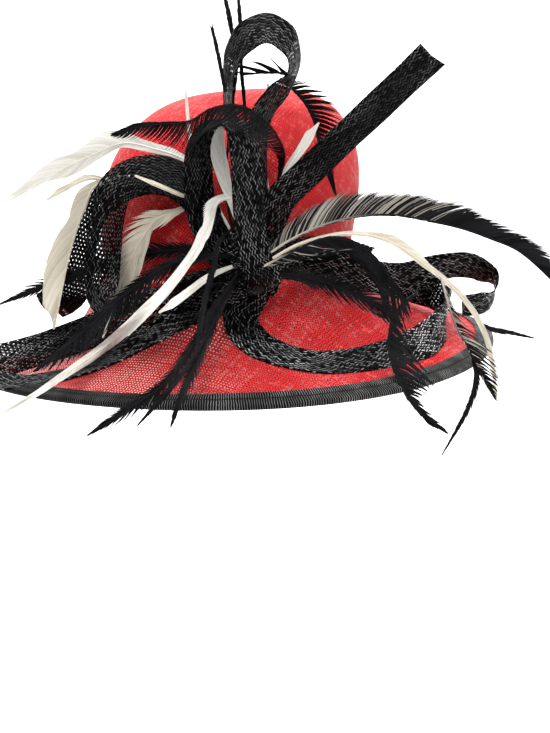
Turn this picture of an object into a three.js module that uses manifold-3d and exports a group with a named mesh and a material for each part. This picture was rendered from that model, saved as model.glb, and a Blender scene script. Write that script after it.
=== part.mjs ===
import * as THREE from "three";
import { mergeVertices } from "three/addons/utils/BufferGeometryUtils.js";
import Module from "manifold-3d";

const wasm = await Module();
wasm.setup();

// Sizes in millimetres. The origin is the centre of the head opening, where crown and brim meet.
// The front of the hat looks along -Y, +X is to the right as seen from the front, +Z is up.
const headHalfWidth = 86;
const headHalfLength = 100;
const crownHeight = 116;
const crownLean = { reach: 18, power: 1.3 };
const crownBulge = { share: 0.075, span: 1.1 };
const crownSquareness = 3.2;
const brimWidth = 94.5;
const brimDrop = 65.4;
const brimShift = 1;
const brimBell = { share: 0.4, leftward: 0.5, power: 3.5 };
const brimWave = { across: -0.028, skew: -0.072 };
const strawWall = 1.5;
const gap = 0.3;

const bindingWidth = 14;
const bindingWall = 1;

const stripWidth = 22;
const stripWall = 1.4;
const quillWall = 1.6;

const knotSpot = { x: 250, y: 262, front: 122 };
const knotHalf = { x: 17, y: 20, z: 21 };
const knotFold = { count: 5, depth: 0.07 };

// A vane is at least this wide, ends in locks from this share on, and is thinner at its tip by a share.
const vane = { least: 0.4, locksFrom: 0.3, tipThinning: 0.5 };

const crownTipClimbs = [80, 68, 55, 40];
const crownSideClimbs = [25, 10, 0];
const brimShares = [0.05, 0.12, 0.2, 0.3, 0.42, 0.56, 0.75];
const ringSides = 32;
const rimSides = 52;
const knotGrid = { rings: 9, sides: 16 };
const stepsPerRow = 2;
const roundFrom = 12;

// Where a place on the brim is looked for: shares of the brim, and millimetres in front of the axis.
const shareSearch = { inner: -0.6, outer: 1.6, halvings: 30, slopeReach: 0.01 };
const frontSearch = { nearest: 290, farthest: 10, stride: 3, halvings: 20 };

// The hat as the photograph sees it: where the eye stands and what it looks at, so that a place on a
// strip or feather can be read off the photograph and set at its distance in front of the crown's axis.
const view = {
  focalLength: 1300,
  middleX: 275,
  middleY: 366.5,
  distance: 927.5,
  elevation: THREE.MathUtils.degToRad(5.12),
  roll: THREE.MathUtils.degToRad(-4.22),
  aim: new THREE.Vector3(27.5, 0, -80.4),
};

const eye = new THREE.Vector3(
  0,
  -view.distance * Math.cos(view.elevation),
  view.distance * Math.sin(view.elevation),
);
const sightForward = view.aim.clone().sub(eye).normalize();
const levelRight = new THREE.Vector3().crossVectors(sightForward, new THREE.Vector3(0, 0, 1)).normalize();
const sightRight = levelRight.clone().applyAxisAngle(sightForward, -view.roll);
const sightUp = new THREE.Vector3().crossVectors(sightRight, sightForward);

function sightLine(px, py) {
  return sightForward.clone()
    .addScaledVector(sightRight, (px - view.middleX) / view.focalLength)
    .addScaledVector(sightUp, (view.middleY - py) / view.focalLength)
    .normalize();
}

// The point seen at a pixel, at a distance in front of the crown's axis.
function seenInFront(px, py, front) {
  const line = sightLine(px, py);
  return eye.clone().addScaledVector(line, (-front - eye.y) / line.y);
}

// The brim: an oval ring that widens and falls from the head opening (share 0) to the rim (share 1),
// steeper at first than at the rim, most so on the left, and that waves a little round its edge.
const brimRun = Math.hypot(brimDrop, brimWidth);

function brimFall(angle, share) {
  const bell = 1 - Math.max(1 - share, 0) ** brimBell.power;
  const bellShare = brimBell.share + brimBell.leftward * Math.max(-Math.cos(angle), 0);
  const profile = (1 - bellShare) * share + bellShare * bell;
  const wave = 1 + brimWave.across * Math.cos(2 * angle) + brimWave.skew * Math.sin(2 * angle);
  return -brimDrop * profile * wave;
}

function brimSlope(angle, share) {
  const reach = shareSearch.slopeReach;
  const fall = brimFall(angle, share - reach) - brimFall(angle, share + reach);
  return Math.atan2(fall, 2 * reach * brimWidth);
}

function brimPoint(angle, share, raise) {
  const slope = brimSlope(angle, share);
  const outward = raise * Math.sin(slope);
  return new THREE.Vector3(
    (headHalfWidth + brimWidth * share + outward) * Math.cos(angle) + brimShift * share,
    (headHalfLength + brimWidth * share + outward) * Math.sin(angle),
    brimFall(angle, share) + raise * Math.cos(slope),
  );
}

// The share and angle of the brim below a point.
function brimUnder(x, y) {
  const onRing = (share) => ({
    across: (x - brimShift * share) / (headHalfWidth + brimWidth * share),
    along: y / (headHalfLength + brimWidth * share),
  });
  let low = shareSearch.inner;
  let high = shareSearch.outer;
  for (let step = 0; step < shareSearch.halvings; step += 1) {
    const middle = (low + high) / 2;
    const { across, along } = onRing(middle);
    if (Math.hypot(across, along) > 1) low = middle;
    else high = middle;
  }
  const { across, along } = onRing(low);
  return { share: low, angle: Math.atan2(along, across) };
}

function brimNormalAt(x, y) {
  const { share, angle } = brimUnder(x, y);
  const slope = brimSlope(angle, share);
  const outward = new THREE.Vector3(x / headHalfWidth, y / headHalfLength, 0).normalize();
  return outward.multiplyScalar(Math.sin(slope)).setZ(Math.cos(slope));
}

// The point seen at a pixel, at a height above the brim's upper face.
function seenAboveBrim(px, py, height) {
  const heightAt = (front) => {
    const spot = seenInFront(px, py, front);
    const { share, angle } = brimUnder(spot.x, spot.y);
    const over = spot.z - brimFall(angle, share);
    return over * Math.cos(brimSlope(angle, share)) - height;
  };
  const { stride } = frontSearch;
  let near = frontSearch.nearest;
  while (near > frontSearch.farthest && heightAt(near - stride) > 0) near -= stride;
  let far = near - stride;
  for (let step = 0; step < frontSearch.halvings; step += 1) {
    const middle = (near + far) / 2;
    if (heightAt(middle) > 0) near = middle;
    else far = middle;
  }
  return seenInFront(px, py, far);
}

// The crown: rings of a rounded dome that bulges a little and leans to one side.
function crownPoint(angle, climb, inset) {
  const ring = Math.cos(climb) ** (2 / crownSquareness);
  const rise = Math.sin(climb) ** (2 / crownSquareness);
  const swell = 1 + crownBulge.share * Math.sin(Math.PI * Math.min(rise / crownBulge.span, 1));
  const height = (crownHeight - inset) * rise;
  return new THREE.Vector3(
    (headHalfWidth - inset) * ring * swell * Math.cos(angle) + crownLean.reach * rise ** crownLean.power,
    (headHalfLength - inset) * ring * swell * Math.sin(angle),
    height,
  );
}

// Closed skin through sections of equal point counts, with its two ends capped or joined to each other.
function loft(sections, joined = false) {
  const count = sections[0].length;
  const positions = [];
  for (const section of sections) for (const point of section) positions.push(point.x, point.y, point.z);
  const faces = [];
  const spans = joined ? sections.length : sections.length - 1;
  for (let row = 0; row < spans; row += 1) {
    const next = (row + 1) % sections.length;
    for (let side = 0; side < count; side += 1) {
      const after = (side + 1) % count;
      const a = row * count + side;
      const b = row * count + after;
      const c = next * count + after;
      const d = next * count + side;
      faces.push(a, b, c, a, c, d);
    }
  }
  if (!joined) {
    addCap(positions, faces, sections[0], 0, true);
    addCap(positions, faces, sections[sections.length - 1], (sections.length - 1) * count, false);
  }
  return outward(positions, faces);
}

// A short section is capped by a fan from its first corner, a round one by a fan from its centre.
function addCap(positions, faces, section, first, reversed) {
  const count = section.length;
  if (count < roundFrom) {
    for (let side = 1; side < count - 1; side += 1) {
      const fan = [first, first + side, first + side + 1];
      faces.push(...(reversed ? fan.reverse() : fan));
    }
    return;
  }
  const centre = section.reduce((sum, point) => sum.add(point), new THREE.Vector3()).divideScalar(count);
  if (section.peak !== undefined) centre.z = section.peak;
  const hub = positions.length / 3;
  positions.push(centre.x, centre.y, centre.z);
  for (let side = 0; side < count; side += 1) {
    const fan = [hub, first + side, first + (side + 1) % count];
    faces.push(...(reversed ? fan.reverse() : fan));
  }
}

function outward(positions, faces) {
  let volume = 0;
  const corner = (index) => new THREE.Vector3().fromArray(positions, index * 3);
  for (let face = 0; face < faces.length; face += 3) {
    const a = corner(faces[face]);
    volume += a.dot(corner(faces[face + 1]).cross(corner(faces[face + 2])));
  }
  if (volume < 0) {
    for (let face = 0; face < faces.length; face += 3) {
      [faces[face + 1], faces[face + 2]] = [faces[face + 2], faces[face + 1]];
    }
  }
  const geometry = new THREE.BufferGeometry();
  geometry.setAttribute("position", new THREE.Float32BufferAttribute(positions, 3));
  geometry.setIndex(faces);
  return geometry;
}

function crownRing(climb, inset, drop = 0) {
  const ring = [];
  for (let side = 0; side < ringSides; side += 1) {
    const point = crownPoint((side / ringSides) * 2 * Math.PI, THREE.MathUtils.degToRad(climb), inset);
    point.z -= drop;
    ring.push(point);
  }
  return ring;
}

// The crown's tip: a cap that ends at the seam round the crown.
function crownTipGeometry(grow = 0) {
  const seam = crownTipClimbs[crownTipClimbs.length - 1];
  const outer = crownTipClimbs.map((climb) => crownRing(climb, -grow, climb === seam ? grow : 0));
  const inner = crownTipClimbs.map((climb) => crownRing(climb, strawWall + grow, climb === seam ? grow : 0));
  outer[0].peak = crownHeight + grow;
  inner[0].peak = crownHeight - strawWall - grow;
  return loft([...outer, ...inner.reverse()]);
}

// The crown's side: the band between the seam and the head opening.
function crownSideGeometry(grow = 0) {
  const seam = crownTipClimbs[crownTipClimbs.length - 1];
  const wall = (inset) => [
    crownRing(seam, inset, gap),
    ...crownSideClimbs.map((climb) => crownRing(climb, inset, climb === 0 ? grow : 0)),
  ];
  return loft([...wall(-grow), ...wall(strawWall + grow).reverse()], true);
}

function brimGeometry(grow = 0) {
  const half = strawWall / 2 + grow;
  const shares = [-strawWall / brimRun, ...brimShares, 1 + grow / brimRun];
  const sections = [];
  for (let side = 0; side < rimSides; side += 1) {
    const angle = (side / rimSides) * 2 * Math.PI;
    const under = shares.map((share) => brimPoint(angle, share, -half));
    const over = shares.map((share) => brimPoint(angle, share, half)).reverse();
    const section = [...under, ...over];
    for (const point of section) point.z -= gap + strawWall / 2;
    sections.push(section);
  }
  return loft(sections, true);
}

function bindingGeometry(grow = 0) {
  const slot = strawWall / 2 + gap - grow;
  const cover = strawWall / 2 + gap + bindingWall + grow;
  const back = -bindingWidth - grow;
  const corners = [
    { along: back, raise: cover },
    { along: gap + bindingWall + grow, raise: cover },
    { along: gap + bindingWall + grow, raise: -cover },
    { along: back, raise: -cover },
    { along: back, raise: -slot },
    { along: gap, raise: -slot },
    { along: gap, raise: slot },
    { along: back, raise: slot },
  ];
  const sections = [];
  for (let side = 0; side < rimSides; side += 1) {
    const angle = (side / rimSides) * 2 * Math.PI;
    sections.push(corners.map((corner) => {
      const point = brimPoint(angle, 1 + corner.along / brimRun, corner.raise);
      point.z -= gap + strawWall / 2;
      return point;
    }));
  }
  return loft(sections, true);
}

// The gathered centre of the bow: a rounded lump with upright folds, on the front where crown meets brim.
const knotPlace = seenInFront(knotSpot.x, knotSpot.y, knotSpot.front);

function knotGeometry(grow = 0) {
  const { rings, sides } = knotGrid;
  const sections = [];
  for (let row = 1; row < rings; row += 1) {
    const polar = (row / rings) * Math.PI;
    const section = [];
    for (let side = 0; side < sides; side += 1) {
      const angle = (side / sides) * 2 * Math.PI;
      const fold = 1 + knotFold.depth * Math.cos(knotFold.count * angle) * Math.sin(polar);
      section.push(new THREE.Vector3(
        knotPlace.x + (knotHalf.x + grow) * fold * Math.sin(polar) * Math.cos(angle),
        knotPlace.y + (knotHalf.y + grow) * fold * Math.sin(polar) * Math.sin(angle),
        knotPlace.z + (knotHalf.z + grow) * Math.cos(polar),
      ));
    }
    section.peak = knotPlace.z + (knotHalf.z + grow) * (row < rings / 2 ? 1 : -1);
    sections.push(section);
  }
  return loft(sections);
}

// A row's place, and which way its width points: tilt 0 shows the full width to the eye and 90 its edge.
// A row with a height lies on the brim instead, where lean 0 is flat and 90 stands on its edge.
function rowPlace(row) {
  if (row.height === undefined) return seenInFront(row.x, row.y, row.front);
  return seenAboveBrim(row.x, row.y, row.height);
}

function rowWidthway(row, place, tangent) {
  if (row.height !== undefined && row.tilt === undefined) {
    const normal = brimNormalAt(place.x, place.y);
    const sideways = new THREE.Vector3().crossVectors(normal, tangent).normalize();
    const lean = THREE.MathUtils.degToRad(row.lean ?? 0);
    return sideways.multiplyScalar(Math.cos(lean)).addScaledVector(normal, Math.sin(lean)).normalize();
  }
  const line = place.clone().sub(eye).normalize();
  const leftward = new THREE.Vector3().crossVectors(tangent, line).normalize();
  const nearward = new THREE.Vector3().crossVectors(tangent, leftward).normalize();
  const tilt = THREE.MathUtils.degToRad(row.tilt ?? 0);
  return leftward.multiplyScalar(Math.cos(tilt)).addScaledVector(nearward, Math.sin(tilt));
}

function blend(rows, name, at) {
  const row = Math.min(Math.floor(at), rows.length - 2);
  const share = at - row;
  const before = rows[row][name] ?? 0;
  const after = rows[row + 1][name] ?? 0;
  return before + (after - before) * share;
}

// Stations along a route: centre, direction, widthway and the direction square to both.
function stationsAlong(rows) {
  const places = rows.map(rowPlace);
  const curve = new THREE.CatmullRomCurve3(places, false, "centripetal");
  const last = rows.length - 1;
  const widthways = rows.map((row, index) => rowWidthway(row, places[index], curve.getTangent(index / last)));
  const stations = [];
  const steps = last * stepsPerRow;
  for (let step = 0; step <= steps; step += 1) {
    const at = (step / steps) * last;
    const row = Math.min(Math.floor(at), last - 1);
    const tangent = curve.getTangent(step / steps);
    const widthway = widthways[row].clone().lerp(widthways[row + 1], at - row);
    widthway.addScaledVector(tangent, -widthway.dot(tangent)).normalize();
    const face = new THREE.Vector3().crossVectors(widthway, tangent);
    stations.push({ at, centre: curve.getPoint(step / steps), widthway, face });
  }
  return stations;
}

// A bias strip of straw mesh: a flat band of one width that follows its rows.
function stripGeometry(strip, grow = 0) {
  const half = (strip.width ?? stripWidth) / 2 + grow;
  const wall = stripWall / 2 + grow;
  const sections = stationsAlong(strip.rows).map(({ centre, widthway, face }) => {
    const corner = (side, skin) => centre.clone()
      .addScaledVector(widthway, side * half)
      .addScaledVector(face, skin * wall);
    return [corner(1, 1), corner(-1, 1), corner(-1, -1), corner(1, -1)];
  });
  return loft(sections);
}

// A feather: a thin blade, thickest at its quill, with a vane of its own width on each side. Every
// second station of the outer half is drawn in by the notch, so that the vane ends in locks.
function featherGeometry(feather, grow = 0) {
  const notch = feather.notch ?? 0;
  const lastRow = feather.rows.length - 1;
  const sections = stationsAlong(feather.rows).map(({ at, centre, widthway, face }, step) => {
    const share = at / lastRow;
    const drawn = step % 2 === 1 && share > vane.locksFrom ? 1 - notch : 1;
    const left = Math.max(blend(feather.rows, "left", at) * drawn, vane.least) + grow;
    const right = Math.max(blend(feather.rows, "right", at) * drawn, vane.least) + grow;
    const wall = (quillWall * (1 - vane.tipThinning * share)) / 2 + grow;
    return [
      centre.clone().addScaledVector(widthway, left),
      centre.clone().addScaledVector(face, wall),
      centre.clone().addScaledVector(widthway, -right),
      centre.clone().addScaledVector(face, -wall),
    ];
  });
  return loft(sections);
}

// Routes of the black straw strips. x and y are the middle of the strip in the photograph's pixels,
// front is millimetres in front of the crown's axis, height is millimetres above the brim.
const strips = {
  loop_front: {
    rows: [
      { x: 240, y: 276, front: 130, tilt: 25 },
      { x: 221, y: 252, front: 131, tilt: 30 },
      { x: 206, y: 226, front: 131, tilt: 35 },
      { x: 200, y: 200, front: 131, tilt: 37 },
      { x: 198, y: 172, front: 131, tilt: 37 },
      { x: 200, y: 148, front: 132, tilt: 45 },
      { x: 208, y: 128, front: 135, tilt: 64 },
      { x: 222, y: 119, front: 140, tilt: 90 },
      { x: 236, y: 126, front: 145, tilt: 118 },
      { x: 245, y: 146, front: 148, tilt: 140 },
      { x: 247, y: 175, front: 150, tilt: 145 },
      { x: 249, y: 208, front: 151, tilt: 145 },
      { x: 252, y: 240, front: 151, tilt: 145 },
      { x: 259, y: 268, front: 148, tilt: 148 },
      { x: 264, y: 284, front: 140, tilt: 152 },
      { x: 258, y: 288, front: 128, tilt: 152 },
    ],
  },
  loop_brim_right: {
    rows: [
      { x: 256, y: 284, front: 128, tilt: 0 },
      { x: 249, y: 300, height: 4, lean: 0 },
      { x: 241, y: 315, height: 1, lean: 0 },
      { x: 245, y: 331, height: 1, lean: 0 },
      { x: 261, y: 346, height: 1, lean: 0 },
      { x: 287, y: 356, height: 1, lean: 0 },
      { x: 318, y: 362, height: 1, lean: 0 },
      { x: 352, y: 361, height: 1, lean: 5 },
      { x: 388, y: 354, height: 2, lean: 12 },
      { x: 418, y: 344, height: 5, lean: 26 },
      { x: 438, y: 329, height: 8.5, lean: 50 },
      { x: 447, y: 311, height: 12, lean: 80 },
      { x: 440, y: 296, height: 13, lean: 90 },
      { x: 420, y: 289, height: 13, lean: 90 },
      { x: 390, y: 281, height: 14, lean: 90 },
      { x: 350, y: 273, height: 16, lean: 90 },
      { x: 310, y: 266, height: 16, lean: 90 },
      { x: 262, y: 262, front: 130, tilt: 180 },
    ],
  },
  strip_tail: {
    rows: [
      { x: 256, y: 252, front: 124, tilt: 10 },
      { x: 267, y: 226, front: 124, tilt: 22 },
      { x: 280, y: 200, front: 126, tilt: 30 },
      { x: 301, y: 179, front: 128, tilt: 36 },
      { x: 326, y: 155, front: 131, tilt: 38 },
      { x: 360, y: 123, front: 135, tilt: 38 },
      { x: 396, y: 89, front: 139, tilt: 36 },
      { x: 433, y: 54, front: 142, tilt: 34 },
    ],
  },
  loop_top: {
    rows: [
      { x: 245, y: 252, front: 126, tilt: -55 },
      { x: 241, y: 215, front: 125, tilt: -66 },
      { x: 239, y: 175, front: 124, tilt: -70 },
      { x: 234, y: 138, front: 124, tilt: -72 },
      { x: 229, y: 106, front: 124, tilt: -73 },
      { x: 229, y: 78, front: 126, tilt: -72 },
      { x: 234, y: 54, front: 129, tilt: -60 },
      { x: 247, y: 36, front: 132, tilt: -40 },
      { x: 267, y: 28, front: 134, tilt: -36 },
      { x: 285, y: 37, front: 133, tilt: -46 },
      { x: 294, y: 54, front: 130, tilt: -70 },
      { x: 293, y: 72, front: 127, tilt: -76 },
      { x: 278, y: 92, front: 124, tilt: -56 },
      { x: 262, y: 114, front: 122, tilt: -56 },
      { x: 258, y: 140, front: 122, tilt: -60 },
      { x: 258, y: 175, front: 123, tilt: -60 },
      { x: 258, y: 215, front: 124, tilt: -60 },
      { x: 256, y: 252, front: 126, tilt: -55 },
    ],
  },
  loop_left: {
    rows: [
      { x: 232, y: 258, front: 118, tilt: 60 },
      { x: 214, y: 226, front: 117, tilt: 50 },
      { x: 200, y: 198, front: 117, tilt: 40 },
      { x: 184, y: 180, front: 115, tilt: 35 },
      { x: 160, y: 171, front: 113, tilt: 30 },
      { x: 134, y: 175, front: 112, tilt: 20 },
      { x: 115, y: 190, front: 112, tilt: 5 },
      { x: 107, y: 214, front: 112, tilt: 0 },
      { x: 104, y: 245, front: 114, tilt: 0 },
      { x: 102, y: 275, front: 116, tilt: 8 },
      { x: 101, y: 300, front: 118, tilt: 45 },
      { x: 112, y: 312, front: 120, tilt: 80 },
      { x: 140, y: 304, front: 122, tilt: 80 },
      { x: 180, y: 285, front: 124, tilt: 80 },
      { x: 232, y: 268, front: 124, tilt: 80 },
    ],
  },
  loop_left_outer: {
    rows: [
      { x: 232, y: 262, front: 112, tilt: 60 },
      { x: 214, y: 232, front: 108, tilt: 35 },
      { x: 200, y: 204, front: 106, tilt: 24 },
      { x: 184, y: 187, front: 104, tilt: 20 },
      { x: 160, y: 178, front: 99, tilt: 20 },
      { x: 134, y: 181, front: 91, tilt: 20 },
      { x: 110, y: 192, front: 82, tilt: 20 },
      { x: 92, y: 209, front: 76, tilt: 20 },
      { x: 82, y: 235, front: 73, tilt: 10 },
      { x: 77, y: 265, front: 73, tilt: 0 },
      { x: 72, y: 292, front: 74, tilt: -20 },
      { x: 62, y: 309, front: 75, tilt: -60 },
      { x: 50, y: 303, front: 76, tilt: -110 },
      { x: 50, y: 286, front: 77, tilt: -140 },
    ],
  },
  loop_brim_left: {
    rows: [
      { x: 238, y: 282, front: 132, tilt: 20 },
      { x: 208, y: 302, height: 4, lean: 0 },
      { x: 182, y: 316, height: 1, lean: 0 },
      { x: 148, y: 335, height: 1, lean: 0 },
      { x: 110, y: 356, height: 1, lean: 0 },
      { x: 66, y: 374, height: 1, lean: 0 },
      { x: 20, y: 382, height: 1.5, lean: -5 },
      { x: -14, y: 380, height: 4, lean: -25 },
      { x: -34, y: 374, height: 10, lean: -70 },
      { x: -20, y: 365, height: 12, lean: -95 },
      { x: 10, y: 358, height: 12, lean: -115 },
      { x: 44, y: 348, height: 12, lean: -125 },
      { x: 84, y: 334, height: 11, lean: -130 },
      { x: 130, y: 316, height: 11, lean: -130 },
      { x: 180, y: 296, height: 12, lean: -130 },
      { x: 236, y: 274, front: 132, tilt: 120 },
    ],
  },
  loop_right_rear: {
    rows: [
      { x: 262, y: 258, front: 120, tilt: 20 },
      { x: 310, y: 266, front: 104, tilt: 20 },
      { x: 360, y: 275, front: 86, tilt: 20 },
      { x: 400, y: 278, front: 68, tilt: 25 },
      { x: 430, y: 270, front: 58, tilt: 35 },
      { x: 464, y: 265, front: 52, tilt: 38 },
      { x: 486, y: 274, front: 50, tilt: 50 },
      { x: 495, y: 288, front: 50, tilt: 90 },
      { x: 484, y: 302, front: 50, tilt: 125 },
      { x: 462, y: 306, front: 54, tilt: 125 },
    ],
  },
  strip_short: {
    rows: [
      { x: 262, y: 264, front: 130, tilt: 0 },
      { x: 295, y: 251, front: 126, tilt: 10 },
      { x: 328, y: 249, front: 122, tilt: 15 },
      { x: 350, y: 253, front: 119, tilt: 15 },
      { x: 366, y: 258, front: 117, tilt: 15 },
    ],
    width: 16,
  },
};

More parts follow.
